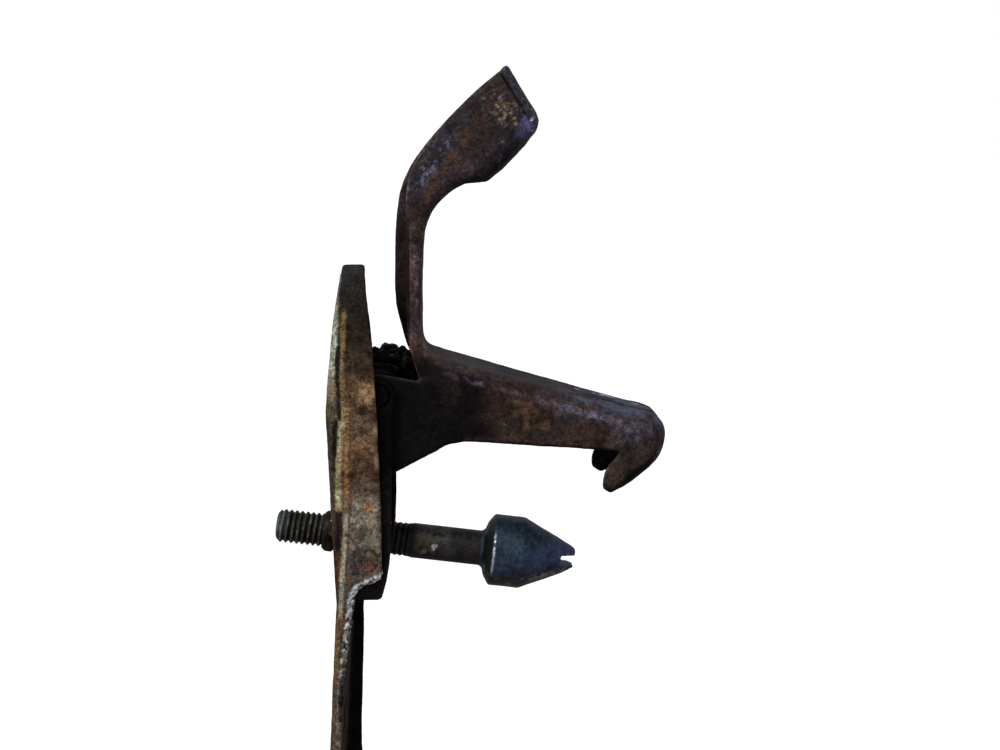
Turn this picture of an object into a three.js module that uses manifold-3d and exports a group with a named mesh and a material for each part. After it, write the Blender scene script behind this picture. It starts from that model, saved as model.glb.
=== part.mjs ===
// Hood latch striker assembly with pivoting safety catch.
// Millimetres. +Z up, +X out of the mounting face along the catch bolt, +Y across the plate.
// The pieces are drawn from the point where the bolt axis crosses the plate, and the whole
// assembly is then moved so that the frame origin lies on the mounting face.
import * as THREE from 'three';
import { mergeVertices } from 'three/addons/utils/BufferGeometryUtils.js';
import Module from 'manifold-3d';

const wasm = await Module();
wasm.setup();

// ---- driving dimensions -------------------------------------------------
const GAP = 0.3;                 // running gap between neighbouring pieces

// base plate: pressed pan with two side flanges
const PLATE_T = 2.5;             // sheet thickness
const PLATE_HALF = 23.0;         // half width over the flanges
const PLATE_TOP = 78.3;          // top of the rounded nose
const PLATE_BOTTOM = -80.5;      // bottom of the rounded foot
const NOSE_START = 50.0;         // where the nose starts to curve in
const FOOT_START = -62.0;        // where the foot starts to curve in
const CREST_Z = 38.6;            // height of the fold that stands furthest back
const CREST_X = -3.25;           // how far back that fold stands
const UPPER_LEAN = 0.085;        // slope of the back just above the fold
const TOP_Z = 50.0;              // above this height the back leans further
const TOP_LEAN = 0.1085;         // slope of the back up to the nose
const MIDDLE_LEAN = 0.0435;      // slope of the back between the folds
const LOWER_Z = -16.5;           // height of the lower fold
const LOWER_LEAN = 0.056;        // slope of the back below the lower fold
const RIM_X = 12.15;             // deepest point of the near flange
const RIM_Z = -12.0;
const RIM_CURVE = 0.00045;       // the front edge of the flange is a long shallow arc
const RIM_SKEW = 0.0957;         // the far flange is shallower than the near one
const RIM_NOSE = 1.3;            // the flange is lower by this much round the nose
const RIM_STEP = 3.6;            // both flanges drop by this much below the bolt
const BEND_TOP = 1.6;            // outer bend radius at the nose
const BEND_CREST = 4.4;          // outer bend radius at the fold
const BEND_LOW = 2.6;            // outer bend radius below the bolt

// mounting slots in the back of the plate
const SLOT_W = 8.5;
const SLOT_L = 15.0;
const SLOT_UPPER_Z = 58.0;
const SLOT_LOWER_Z = -58.0;

// pivot bracket: U channel inside the pan
const BRACKET_T = 2.2;
const BRACKET_BEND = 3.0;          // outer bend radius
const EAR_OUT = 20.2;            // outer face of each ear
const EAR_IN = EAR_OUT - BRACKET_T;
const BRACKET_LOW = -15.0;
const BRACKET_HIGH = 30.0;

// pivot pin, sleeve and spring
const PIVOT_X = 11.4;
const PIVOT_Z = 43.2;
const PIN_R = 3.0;
const PIN_HALF = 19.9;
const SLEEVE_R = 6.2;
const COIL_R = 8.6;
const WIRE_R = 1.2;
const COIL_TURNS = 5.0;
const COIL_PITCH = 2.7;
const COIL_START = -3.5;
const COIL_WIND = COIL_TURNS - 0.75;   // turns between the two legs

// stop pin: the back edge of the catch rests on it
const STOP_X = 9.0;
const STOP_Z = 30.2;
const STOP_R = 3.0;

// the frame origin sits on the mounting face between the two rivets
const ORIGIN_Z = 28.5;

// safety catch: one pressed channel that forms hook, arm, lever and finger pad
const CATCH_T = 2.3;
const ARM_HALF = 17.0;
const LEVER_HALF = 12.0;
const ARM_BEND = 6.0;
const LEVER_BEND = 3.0;

// catch bolt
const BOLT_LEAN = -Math.atan(0.1225);   // the bolt leans down from the plate normal
const BOLT_Z0 = -0.1;                  // height of the axis at x = 0
const THREAD_R = 4.9;
const ROOT_R = 4.25;
const THREAD_PITCH = 1.6;
const THREAD_TURNS = 24;
const THREAD_START = -19.7;
const SHANK_R = 5.1;
const HEAD_R = 10.45;
const HEAD_BACK = 41.6;
const HEAD_RIM = 43.8;
const HEAD_SHOULDER = 53.1;
const TIP_S = 68.3;
const TIP_R = 3.0;
const DRIVER_W = 3.1;
const DRIVER_D = 4.35;
const DRIVER_DROP = 0.2;         // the slot was cut a little below the axis

// bush that carries the bolt, swaged into the plate from behind
const BUSH_R = 5.85;
const BORE_R = 5.2;
const BUSH_BACK = -6.1;
const BUSH_FRONT = 4.9;

// lock nut on the front of the bush
const NUT_BACK = 5.3;
const NUT_FRONT = 10.2;
const NUT_AF = 16.0;

// rivets
const RIVET_R = 2.6;
const RIVET_HEAD_R = 4.2;
const RIVET_SINK = 1.3;          // depth of the countersink in the back of the plate
const RIVET_Y = 11.0;
const RIVET_Z = 19.5;
const SIDE_RIVET_R = 2.95;
const SIDE_RIVET_X = 7.7;
const SIDE_RIVET_Z = -3.1;

// ---- small helpers ------------------------------------------------------
const vec = (x, y, z) => new THREE.Vector3(x, y, z);
const lerp = THREE.MathUtils.lerp;
const smooth = THREE.MathUtils.smoothstep;

function signedVolume(points, faces) {
  let sum = 0;
  for (const [a, b, c] of faces) {
    const cross = points[b].clone().cross(points[c]);
    sum += points[a].dot(cross);
  }
  return sum / 6;
}

// a closed solid from points and triangles, turned the right way out
function solidOf(points, faces) {
  const flip = signedVolume(points, faces) < 0;
  const position = [];
  for (const face of faces) {
    const order = flip ? [face[0], face[2], face[1]] : face;
    for (const i of order) position.push(points[i].x, points[i].y, points[i].z);
  }
  const geometry = new THREE.BufferGeometry();
  geometry.setAttribute('position', new THREE.Float32BufferAttribute(position, 3));
  return solidFrom(geometry);
}

function solidFrom(geometry) {
  geometry.deleteAttribute('normal');
  geometry.deleteAttribute('uv');
  const merged = mergeVertices(geometry, 1e-4);
  const mesh = new wasm.Mesh({
    numProp: 3,
    vertProperties: Float32Array.from(merged.attributes.position.array),
    triVerts: Uint32Array.from(merged.index.array),
  });
  return new wasm.Manifold(mesh);
}

function geometryFrom(solid) {
  const mesh = solid.getMesh();
  const indexed = new THREE.BufferGeometry();
  const position = Float32Array.from(mesh.vertProperties);
  indexed.setAttribute('position', new THREE.BufferAttribute(position, 3));
  indexed.setIndex(new THREE.BufferAttribute(Uint32Array.from(mesh.triVerts), 1));
  const geometry = indexed.toNonIndexed();
  geometry.computeVertexNormals();
  return geometry;
}

// skin a row of closed rings and cap both ends
function loft(rings) {
  const points = rings.flat();
  const n = rings[0].length;
  const faces = [];
  for (let k = 0; k + 1 < rings.length; k += 1) {
    for (let i = 0; i < n; i += 1) {
      const j = (i + 1) % n;
      const a = k * n + i;
      const b = k * n + j;
      const c = (k + 1) * n + j;
      const d = (k + 1) * n + i;
      faces.push([a, b, c], [a, c, d]);
    }
  }
  faces.push(...capFaces(rings[0], 0, false));
  faces.push(...capFaces(rings[rings.length - 1], (rings.length - 1) * n, true));
  return solidOf(points, faces);
}

function capFaces(ring, offset, last) {
  const normal = vec(0, 0, 0);
  for (let i = 0; i < ring.length; i += 1) {
    normal.add(ring[i].clone().cross(ring[(i + 1) % ring.length]));
  }
  const helper = Math.abs(normal.y) > 0.7 * normal.length() ? vec(1, 0, 0) : vec(0, 1, 0);
  const side = helper.cross(normal).normalize();
  const up = normal.clone().normalize().cross(side);
  const flat = ring.map((p) => new THREE.Vector2(p.dot(side), p.dot(up)));
  const faces = THREE.ShapeUtils.triangulateShape(flat, []);
  return faces.map(([a, b, c]) => (last
    ? [a + offset, b + offset, c + offset]
    : [a + offset, c + offset, b + offset]));
}

// flat outline in x and z, pushed out across the plate from y0 to y1
function plate(outline, y0, y1) {
  const at = (y) => outline.map(([x, z]) => vec(x, y, z));
  return loft([at(y0), at(y1)]);
}

function rodAlong(axis, radius, from, to, a, b, segments = 40) {
  const geometry = new THREE.CylinderGeometry(radius, radius, to - from, segments);
  if (axis === 'x') {
    geometry.rotateZ(-Math.PI / 2);
    geometry.translate((from + to) / 2, a, b);
  } else {
    geometry.translate(a, (from + to) / 2, b);
  }
  return solidFrom(geometry);
}

// a lathe about the y axis, laid along x
function turned(profile, segments) {
  const geometry = new THREE.LatheGeometry(profile.map(([r, s]) => new THREE.Vector2(r, s)), segments);
  geometry.rotateZ(-Math.PI / 2);
  return solidFrom(geometry);
}

function arc(cx, cz, r, from, to, steps) {
  const out = [];
  for (let i = 0; i <= steps; i += 1) {
    const a = THREE.MathUtils.degToRad(lerp(from, to, i / steps));
    out.push([cx + r * Math.cos(a), cz + r * Math.sin(a)]);
  }
  return out;
}

function makeMesh(name, solid, material) {
  const mesh = new THREE.Mesh(geometryFrom(solid), material);
  mesh.name = name;
  return mesh;
}

function paint(color, roughness, metalness) {
  return new THREE.MeshStandardMaterial({ color, roughness, metalness });
}

// ---- base plate ---------------------------------------------------------
function backX(z) {
  if (z > TOP_Z) return backX(TOP_Z) + (z - TOP_Z) * TOP_LEAN;
  if (z > CREST_Z) return CREST_X + (z - CREST_Z) * UPPER_LEAN;
  const lowerX = CREST_X + (CREST_Z - LOWER_Z) * MIDDLE_LEAN;
  if (z > LOWER_Z) return CREST_X + (CREST_Z - z) * MIDDLE_LEAN;
  return lowerX - (LOWER_Z - z) * LOWER_LEAN;
}

function bendRadius(z) {
  if (z > CREST_Z) return lerp(BEND_CREST, BEND_TOP, smooth(z, CREST_Z, PLATE_TOP - 6));
  return lerp(BEND_LOW, BEND_CREST, smooth(z, -12, CREST_Z));
}

// half width of the plan outline, drawn in by "inset" all round
function planHalf(z, inset) {
  const half = PLATE_HALF - inset;
  const nose = PLATE_TOP - NOSE_START - inset;
  const foot = FOOT_START - PLATE_BOTTOM - inset;
  if (z > NOSE_START) return half * Math.sqrt(Math.max(0, 1 - ((z - NOSE_START) / nose) ** 2));
  if (z < FOOT_START) return half * Math.sqrt(Math.max(0, 1 - ((FOOT_START - z) / foot) ** 2));
  return half;
}

function panHeights(inset) {
  const nose = PLATE_TOP - NOSE_START - inset;
  const foot = FOOT_START - PLATE_BOTTOM - inset;
  const heights = [];
  for (const deg of [88.5, 84, 78, 70, 61, 52, 42, 31, 20, 10]) {
    heights.push(NOSE_START + nose * Math.sin(THREE.MathUtils.degToRad(deg)));
  }
  heights.push(NOSE_START, 47, 45, 41.5, CREST_Z, 35.5, 29, 20, 10, 0, -8, -14.5, LOWER_Z, -19, -40);
  for (const deg of [0, 14, 27, 40, 52, 63, 73, 81, 87]) {
    heights.push(FOOT_START - foot * Math.sin(THREE.MathUtils.degToRad(deg)));
  }
  return heights;
}

function panRing(z, inset, front) {
  const half = planHalf(z, inset);
  const x = backX(z) + inset;
  const r = Math.min(Math.max(bendRadius(z) - inset, 0.7), half * 0.9);
  const ring = [vec(front, -half, z)];
  for (const [px, py] of arc(x + r, -half + r, r, 270, 180, 6)) ring.push(vec(px, py, z));
  for (const [px, py] of arc(x + r, half - r, r, 180, 90, 6)) ring.push(vec(px, py, z));
  ring.push(vec(front, half, z));
  return ring;
}

function rimX(z, y) {
  const drop = RIM_STEP * smooth(-z, 9, 26) + RIM_NOSE * smooth(z, 56, 82);
  return RIM_X - RIM_CURVE * (z - RIM_Z) ** 2 - drop - RIM_SKEW * (y + planHalf(z, 0));
}

function rimCutter() {
  const rings = [];
  for (let z = 84; z >= -84; z -= 4) {
    rings.push([
      vec(rimX(z, -30), -30, z),
      vec(60, -30, z),
      vec(60, 30, z),
      vec(rimX(z, 30), 30, z),
    ]);
  }
  return loft(rings);
}

// the near flange has been torn away below the bolt; a stub of it tapers down to the web,
// and the torn face slants from the outer skin to the inner one
function flangeCutter() {
  const skin = [
    [20, -4.2], [12.1, -6.3], [10.2, -7.6], [7.4, -8.8], [5.2, -9.4], [3.8, -10.8],
    [3.0, -13.4], [2.5, -17.4], [2.0, -22.7], [1.5, -28.5], [0.4, -40.2], [0.2, -49.0],
  ];
  const inside = [
    [20, -7.0], [12.4, -8.4], [10.1, -9.7], [7.2, -10.9], [5.6, -12.0], [4.9, -13.4],
    [4.5, -15.2], [4.2, -17.4], [3.3, -22.7], [2.6, -28.5], [0.9, -40.2], [0.3, -49.0],
  ];
  for (const line of [skin, inside]) {
    line.push([backX(-90) + PLATE_T + 0.35, -90]);
    line.push([20, -90]);
  }
  return loft([
    skin.map(([x, z]) => vec(x, -PLATE_HALF - 1, z)),
    skin.map(([x, z]) => vec(x, -PLATE_HALF - 0.1, z)),
    inside.map(([x, z]) => vec(x, -PLATE_HALF + PLATE_T, z)),
    inside.map(([x, z]) => vec(x, -14, z)),
  ]);
}

function slotCutter(y, z, width, length) {
  const r = width / 2;
  const run = length / 2 - r;
  const outline = [...arc(0, run, r, 0, 180, 12), ...arc(0, -run, r, 180, 360, 12)];
  const at = (x) => outline.map(([a, b]) => vec(x, y + a, z + b));
  return loft([at(-20), at(20)]);
}

function countersink(spare) {
  const back = backX(RIVET_Z);
  return turned([
    [0, back - 3],
    [RIVET_HEAD_R + spare, back - 3],
    [RIVET_HEAD_R + spare, back + 0.1],
    [RIVET_R + spare, back + RIVET_SINK],
    [0, back + RIVET_SINK],
  ], 28);
}

function basePlate() {
  const outer = loft(panHeights(0).map((z) => panRing(z, 0, 30)));
  const inner = loft(panHeights(PLATE_T).map((z) => panRing(z, PLATE_T, 40)));
  let body = outer.subtract(inner).subtract(rimCutter()).subtract(flangeCutter());
  body = body.subtract(slotCutter(0, SLOT_UPPER_Z, SLOT_W, SLOT_L));
  body = body.subtract(slotCutter(0, SLOT_LOWER_Z, SLOT_W, SLOT_L));
  body = body.subtract(rodAlong('x', 2.4, -20, 20, -14.2, 31.5, 24));
  body = body.subtract(rodAlong('x', 6.35, -20, 20, 0, BOLT_Z0, 48));
  for (const y of [-RIVET_Y, RIVET_Y]) {
    body = body.subtract(rodAlong('x', RIVET_R + GAP, -20, 20, y, RIVET_Z, 28));
    body = body.subtract(countersink(GAP).translate([0, y, RIVET_Z]));
  }
  body = body.subtract(
    rodAlong('y', SIDE_RIVET_R + GAP, -30, -15, SIDE_RIVET_X, SIDE_RIVET_Z),
  );
  body = body.subtract(rodAlong('y', 0.9, -PLATE_HALF - 1, -PLATE_HALF + 0.5, 7.1, 41, 18));
  return makeMesh('base_plate', body, paint(0x6b5a47, 0.82, 0.35));
}

// ---- pivot bracket ------------------------------------------------------
function bracketX(z) {
  return CREST_X + (CREST_Z - z) * MIDDLE_LEAN + PLATE_T + GAP;
}

function bracketRing(z, half, inset, front) {
  const x = bracketX(z) + inset;
  const r = BRACKET_BEND - inset;
  const ring = [vec(front, -half, z)];
  for (const [px, py] of arc(x + r, -half + r, r, 270, 180, 5)) ring.push(vec(px, py, z));
  for (const [px, py] of arc(x + r, half - r, r, 180, 90, 5)) ring.push(vec(px, py, z));
  ring.push(vec(front, half, z));
  return ring;
}

function pivotBracket() {
  const outer = loft([-20, 60].map((z) => bracketRing(z, EAR_OUT, 0, 30)));
  const inner = loft([-22, 62].map((z) => bracketRing(z, EAR_IN, BRACKET_T, 40)));
  const ear = [
    [bracketX(BRACKET_LOW) - 1.0, BRACKET_LOW],
    ...arc(11.0, BRACKET_LOW + 1.0, 1.0, 270, 345, 3),
    [13.3, -9.5],
    [14.1, -4.5],
    [14.5, 0.5],
    [14.75, 8.2],
    [14.75, 18.0],
    [15.4, 26.0],
    [15.4, 35.0],
    ...arc(PIVOT_X, PIVOT_Z, 4.6, -14, 200, 14),
    [bracketX(BRACKET_HIGH) + 2.6, BRACKET_HIGH + 3.5],
    [bracketX(BRACKET_HIGH) - 1.0, BRACKET_HIGH],
  ];
  let body = outer.subtract(inner).intersect(plate(ear, -30, 30));
  const trim = BRACKET_HIGH;
  body = body.subtract(plate([[-10, trim], [8, trim], [8, 60], [-10, 60]], -EAR_IN, EAR_IN));
  body = body.subtract(rodAlong('y', PIN_R + GAP, -30, 30, PIVOT_X, PIVOT_Z));
  body = body.subtract(rodAlong('y', STOP_R + GAP, -30, 30, STOP_X, STOP_Z, 32));
  const bushX = bracketX(0) + BRACKET_T / 2;
  body = body.subtract(rodAlong('x', 6.5, -20, 20, 0, BOLT_Z0 + bushX * Math.tan(BOLT_LEAN), 48));
  for (const y of [-RIVET_Y, RIVET_Y]) {
    body = body.subtract(rodAlong('x', RIVET_R + GAP, -20, 20, y, RIVET_Z, 28));
  }
  body = body.subtract(rodAlong('y', SIDE_RIVET_R + GAP, -30, -10, SIDE_RIVET_X, SIDE_RIVET_Z));
  return makeMesh('pivot_bracket', body, paint(0x3a322b, 0.85, 0.4));
}

// ---- rivets -------------------------------------------------------------
function dome(radius, height, seat, out) {
  const steps = 6;
  const profile = [];
  for (let i = 0; i <= steps; i += 1) {
    const a = (i / steps) * (Math.PI / 2);
    profile.push([radius * Math.cos(a), seat + out * height * Math.sin(a)]);
  }
  return profile;
}

function baseRivet(name, y) {
  const back = backX(RIVET_Z);
  const front = bracketX(RIVET_Z) + BRACKET_T + GAP + 0.2;
  const profile = [
    [0, back + 0.15],
    [RIVET_HEAD_R - 0.15, back + 0.15],
    [RIVET_R, back + RIVET_SINK],
    [RIVET_R, front],
    ...dome(RIVET_HEAD_R, 1.7, front, 1),
  ];
  profile[profile.length - 1][0] = 0;
  const body = turned(profile, 28).translate([0, y, RIVET_Z]);
  return makeMesh(name, body, paint(0x4c4036, 0.75, 0.5));
}

function sideRivet() {
  const inside = -EAR_IN + GAP;
  const shaft = rodAlong('y', SIDE_RIVET_R, -PLATE_HALF + 0.1, inside + 0.1, 0, 0, 36);
  const head = rodAlong('y', SIDE_RIVET_R + 0.6, inside, inside + 1.5, 0, 0, 36);
  const body = shaft.add(head).translate([SIDE_RIVET_X, 0, SIDE_RIVET_Z]);
  return makeMesh('side_rivet', body, paint(0x7a5a3c, 0.85, 0.3));
}

// ---- catch bolt and bush ------------------------------------------------
function onBoltAxis(solid) {
  return solid.rotate([0, -THREE.MathUtils.radToDeg(BOLT_LEAN), 0]).translate([0, 0, BOLT_Z0]);
}

function catchBolt() {
  const profile = [[0, THREAD_START], [ROOT_R - 0.7, THREAD_START], [ROOT_R, THREAD_START + 0.7]];
  for (let i = 0; i < THREAD_TURNS; i += 1) {
    const s = THREAD_START + 0.7 + i * THREAD_PITCH;
    profile.push([THREAD_R, s + THREAD_PITCH * 0.5]);
    profile.push([ROOT_R, s + THREAD_PITCH]);
  }
  const threadEnd = THREAD_START + 0.7 + THREAD_TURNS * THREAD_PITCH;
  profile.push([SHANK_R, threadEnd + 0.9]);
  profile.push([SHANK_R, HEAD_BACK - 1.5]);
  profile.push([SHANK_R + 0.4, HEAD_BACK - 0.4]);
  profile.push([SHANK_R + 1.5, HEAD_BACK + 0.2]);
  profile.push([8.3, HEAD_BACK + 0.9]);
  profile.push([HEAD_R - 0.25, HEAD_RIM - 0.2]);
  profile.push([HEAD_R, HEAD_RIM + 0.15]);
  profile.push([HEAD_R, HEAD_SHOULDER - 0.8]);
  profile.push([HEAD_R - 0.35, HEAD_SHOULDER]);
  profile.push([TIP_R + 0.75, TIP_S - 1.5]);
  profile.push([TIP_R, TIP_S - 0.35]);
  profile.push([TIP_R - 0.6, TIP_S]);
  profile.push([0, TIP_S + 0.1]);
  const slot = plate([
    [TIP_S - DRIVER_D, -DRIVER_W / 2 - DRIVER_DROP],
    [TIP_S + 5, -DRIVER_W / 2 - DRIVER_DROP],
    [TIP_S + 5, DRIVER_W / 2 - DRIVER_DROP],
    [TIP_S - DRIVER_D, DRIVER_W / 2 - DRIVER_DROP],
  ], -15, 15);
  const body = onBoltAxis(turned(profile, 36).subtract(slot));
  return makeMesh('catch_bolt', body, paint(0x23262e, 0.5, 0.8));
}

function threadedBush() {
  const body = onBoltAxis(turned([
    [BORE_R, BUSH_BACK],
    [BORE_R + 0.25, BUSH_BACK],
    [BUSH_R - 0.1, BUSH_BACK + 2.2],
    [BUSH_R, BUSH_BACK + 2.8],
    [BUSH_R, BUSH_FRONT],
    [BORE_R, BUSH_FRONT],
    [BORE_R, BUSH_BACK],
  ], 40));
  return makeMesh('threaded_bush', body, paint(0x3c3530, 0.7, 0.55));
}

function lockNut() {
  const hexR = NUT_AF / Math.sqrt(3);
  const hex = new THREE.CylinderGeometry(hexR, hexR, NUT_FRONT - NUT_BACK, 6);
  hex.rotateZ(-Math.PI / 2);
  hex.translate((NUT_FRONT + NUT_BACK) / 2, 0, 0);
  const round = turned([
    [0, NUT_BACK - 0.01],
    [NUT_AF / 2 + 0.1, NUT_BACK - 0.01],
    [hexR + 0.1, NUT_BACK + 0.8],
    [hexR + 0.1, NUT_FRONT - 0.8],
    [NUT_AF / 2 + 0.1, NUT_FRONT + 0.01],
    [0, NUT_FRONT + 0.01],
  ], 36);
  const bore = rodAlong('x', BORE_R, -30, 30, 0, 0, 40);
  const body = onBoltAxis(solidFrom(hex).intersect(round).subtract(bore));
  return makeMesh('lock_nut', body, paint(0x2e2a28, 0.7, 0.6));
}

// ---- pivot hardware -----------------------------------------------------
function pivotPin() {
  const profile = [
    [0, -PIN_HALF],
    [PIN_R - 0.4, -PIN_HALF],
    [PIN_R, -PIN_HALF + 0.4],
    [PIN_R, PIN_HALF - 0.4],
    [PIN_R - 0.4, PIN_HALF],
    [0, PIN_HALF],
  ];
  const geometry = new THREE.LatheGeometry(profile.map(([r, s]) => new THREE.Vector2(r, s)), 36);
  const body = solidFrom(geometry).translate([PIVOT_X, 0, PIVOT_Z]);
  return makeMesh('pivot_pin', body, paint(0x555049, 0.5, 0.8));
}

function stopPin() {
  const body = rodAlong('y', STOP_R, -EAR_OUT + 0.1, EAR_OUT - 0.1, STOP_X, STOP_Z, 32);
  return makeMesh('stop_pin', body, paint(0x4a3c34, 0.7, 0.6));
}

function springSleeve() {
  const half = ARM_HALF - CATCH_T - GAP;
  const tube = rodAlong('y', SLEEVE_R, -half, half, PIVOT_X, PIVOT_Z);
  const body = tube.subtract(rodAlong('y', PIN_R + GAP, -30, 30, PIVOT_X, PIVOT_Z));
  return makeMesh('spring_sleeve', body, paint(0x2c2824, 0.8, 0.5));
}

class SpringPath extends THREE.Curve {
  getPoint(t) {
    const legA = 0.12;
    const legB = 0.82;
    const coilEnd = COIL_START + COIL_TURNS * COIL_PITCH;
    const onCoil = (k) => {
      const a = Math.PI - k * COIL_WIND * Math.PI * 2;
      const y = lerp(COIL_START, coilEnd, k);
      return vec(PIVOT_X + COIL_R * Math.cos(a), y, PIVOT_Z + COIL_R * Math.sin(a));
    };
    if (t < legA) {
      const k = t / legA;
      return vec(lerp(3.0, PIVOT_X - COIL_R, k), COIL_START, lerp(BRACKET_HIGH + 0.6, PIVOT_Z, k));
    }
    if (t > legB) {
      const k = (t - legB) / (1 - legB);
      const end = onCoil(1);
      return vec(lerp(end.x, 33.0, k), coilEnd, lerp(end.z, 46.8, k));
    }
    return onCoil((t - legA) / (legB - legA));
  }
}

function torsionSpring() {
  const section = new THREE.Shape();
  section.absarc(0, 0, WIRE_R, 0, Math.PI * 2, false);
  const geometry = new THREE.ExtrudeGeometry(section, {
    steps: 120,
    curveSegments: 4,
    bevelEnabled: false,
    extrudePath: new SpringPath(),
  });
  return makeMesh('torsion_spring', solidFrom(geometry), paint(0x1d1b19, 0.9, 0.3));
}

// ---- safety catch -------------------------------------------------------
// One section of the channel: p is on the outer face of the web, near and far are the
// free edges of the two side walls, all in x and z.
function channelRing(station) {
  const { p, near, far, half, bend } = station;
  const wall = (edge) => {
    const dx = edge[0] - p[0];
    const dz = edge[1] - p[1];
    const depth = Math.hypot(dx, dz);
    return { dx: dx / depth, dz: dz / depth, depth };
  };
  const a = wall(near);
  const b = wall(far);
  const r = Math.min(bend, a.depth * 0.6, b.depth * 0.6);
  const inner = Math.max(r - CATCH_T, 0.5);
  const ring = [];
  const put = (w, y, s) => ring.push(vec(p[0] + w.dx * s, y, p[1] + w.dz * s));
  const quarter = [0, 18, 36, 54, 72, 90].map((d) => THREE.MathUtils.degToRad(d));
  put(a, -half, a.depth);
  for (const q of quarter) put(a, -half + r - r * Math.cos(q), r - r * Math.sin(q));
  for (const q of quarter.toReversed()) put(b, half - r + r * Math.cos(q), r - r * Math.sin(q));
  put(b, half, b.depth);
  put(b, half - CATCH_T, b.depth);
  const seat = CATCH_T + inner;
  const innerHalf = half - CATCH_T - inner;
  for (const q of quarter) {
    const s = Math.min(seat - inner * Math.sin(q), b.depth - 0.05);
    put(b, innerHalf + inner * Math.cos(q), s);
  }
  for (const q of quarter.toReversed()) {
    const s = Math.min(seat - inner * Math.sin(q), a.depth - 0.05);
    put(a, -innerHalf - inner * Math.cos(q), s);
  }
  put(a, -half + CATCH_T, a.depth);
  return ring;
}

// landmarks along the channel, from the end of the finger pad to the tip of the hook
const LANDMARKS = [
  { p: [55.9, 119.4], near: [47.0, 133.6], far: [46.9, 133.8] },
  { p: [54.9, 115.4], near: [42.3, 130.1], far: [41.9, 130.3] },
  { p: [49.8, 109.4], near: [36.2, 124.6], far: [35.8, 124.8] },
  { p: [42.0, 102.3], near: [30.0, 118.2], far: [29.6, 118.5] },
  { p: [35.6, 101.6], near: [24.8, 111.9], far: [24.3, 112.3] },
  { p: [30.6, 98.5], near: [20.6, 104.9], far: [19.8, 105.8] },
  { p: [26.4, 93.8], near: [19.3, 97.2], far: [16.8, 98.4] },
  { p: [24.2, 87.5], near: [19.4, 88.3], far: [15.7, 89.0] },
  { p: [23.4, 76.0], near: [19.3, 76.2], far: [15.2, 76.4] },
  { p: [23.3, 65.0], near: [19.2, 65.4], far: [15.5, 66.0] },
  { p: [23.3, 58.8], near: [19.7, 59.0], far: [17.0, 59.4] },
  { p: [23.6, 56.2], near: [21.0, 52.8], far: [18.5, 53.6] },
  { p: [24.9, 54.4], near: [23.0, 47.0], far: [21.4, 47.8] },
  { p: [27.4, 53.5], near: [26.6, 37.0], far: [26.6, 37.0] },
  { p: [30.4, 52.4], near: [30.0, 30.2], far: [30.0, 30.2] },
  { p: [35.0, 51.1], near: [35.0, 29.8], far: [35.0, 29.8] },
  { p: [45.0, 48.2], near: [44.0, 29.3], far: [44.0, 29.3] },
  { p: [58.0, 44.4], near: [57.0, 28.3], far: [57.0, 28.3] },
  { p: [72.0, 40.4], near: [70.0, 27.5], far: [70.0, 27.5] },
  { p: [83.0, 37.4], near: [79.0, 26.5], far: [79.0, 26.5] },
  { p: [90.8, 35.1], near: [79.3, 26.1], far: [79.3, 26.1] },
  { p: [92.5, 32.3], near: [78.6, 25.4], far: [78.2, 25.4] },
  { p: [92.2, 28.2], near: [77.6, 24.2], far: [77.0, 24.2] },
  { p: [90.3, 23.8], near: [76.3, 22.7], far: [75.6, 22.7] },
  { p: [85.4, 19.2], near: [75.0, 20.5], far: [74.3, 20.5] },
  { p: [80.3, 16.0], near: [74.5, 18.2], far: [73.9, 18.2] },
  { p: [76.6, 14.6], near: [74.5, 16.1], far: [74.1, 16.3] },
];

function catchStations() {
  const along = (key) => {
    const points = LANDMARKS.map((mark) => vec(mark[key][0], 0, mark[key][1]));
    return new THREE.CatmullRomCurve3(points, false, 'centripetal');
  };
  const curves = { p: along('p'), near: along('near'), far: along('far') };
  const perSpan = 2;
  const count = (LANDMARKS.length - 1) * perSpan;
  const stations = [];
  for (let i = 0; i <= count; i += 1) {
    const t = i / count;
    const read = (key) => {
      const q = curves[key].getPoint(t);
      return [q.x, q.z];
    };
    const p = read('p');
    const onLever = p[0] < 60 ? smooth(p[1], 50, 66) : 0;
    stations.push({
      p,
      near: read('near'),
      far: read('far'),
      half: lerp(ARM_HALF, LEVER_HALF, onLever),
      bend: lerp(ARM_BEND, LEVER_BEND, onLever),
    });
  }
  return stations;
}

function safetyCatch() {
  let body = loft(catchStations().map(channelRing));
  const root = [
    [16.0, 21.2],
    [27.6, 27.2],
    [29.7, 28.6],
    [31.8, 29.2],
    [34.6, 29.6],
    [37.0, 33.0],
    [33.0, 36.0],
    [30.0, 46.5],
    [25.0, 47.8],
    [22.2, 46.9],
    [12.6, 48.5],
    ...arc(PIVOT_X, PIVOT_Z, 5.6, 78, 245, 12),
    [12.4, 34.6],
    [12.4, 28.0],
  ];
  body = body.add(plate(root, -ARM_HALF, -ARM_HALF + CATCH_T));
  body = body.add(plate(root, ARM_HALF - CATCH_T, ARM_HALF));
  const flap = [
    [45.7, 132.5],
    [46.5, 133.9],
    [47.7, 133.9],
    [50.9, 128.4],
    [53.8, 123.7],
    [55.5, 121.2],
    [56.2, 119.2],
    [55.9, 116.9],
    [54.9, 115.0],
    [53.3, 115.9],
    [53.4, 118.6],
    [52.8, 120.6],
    [51.9, 122.5],
  ];
  body = body.add(plate(flap, -LEVER_HALF - 0.4, LEVER_HALF));
  // the web stops short of the tip, which leaves two separate hooks
  const tipCut = [[70, 10], [79.2, 10], [79.2, 20.6], [70, 20.6]];
  body = body.subtract(plate(tipCut, -ARM_HALF + CATCH_T, ARM_HALF - CATCH_T));
  body = body.subtract(rodAlong('y', PIN_R + GAP, -30, 30, PIVOT_X, PIVOT_Z));
  return makeMesh('safety_catch', body, paint(0x33271f, 0.72, 0.55));
}

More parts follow.
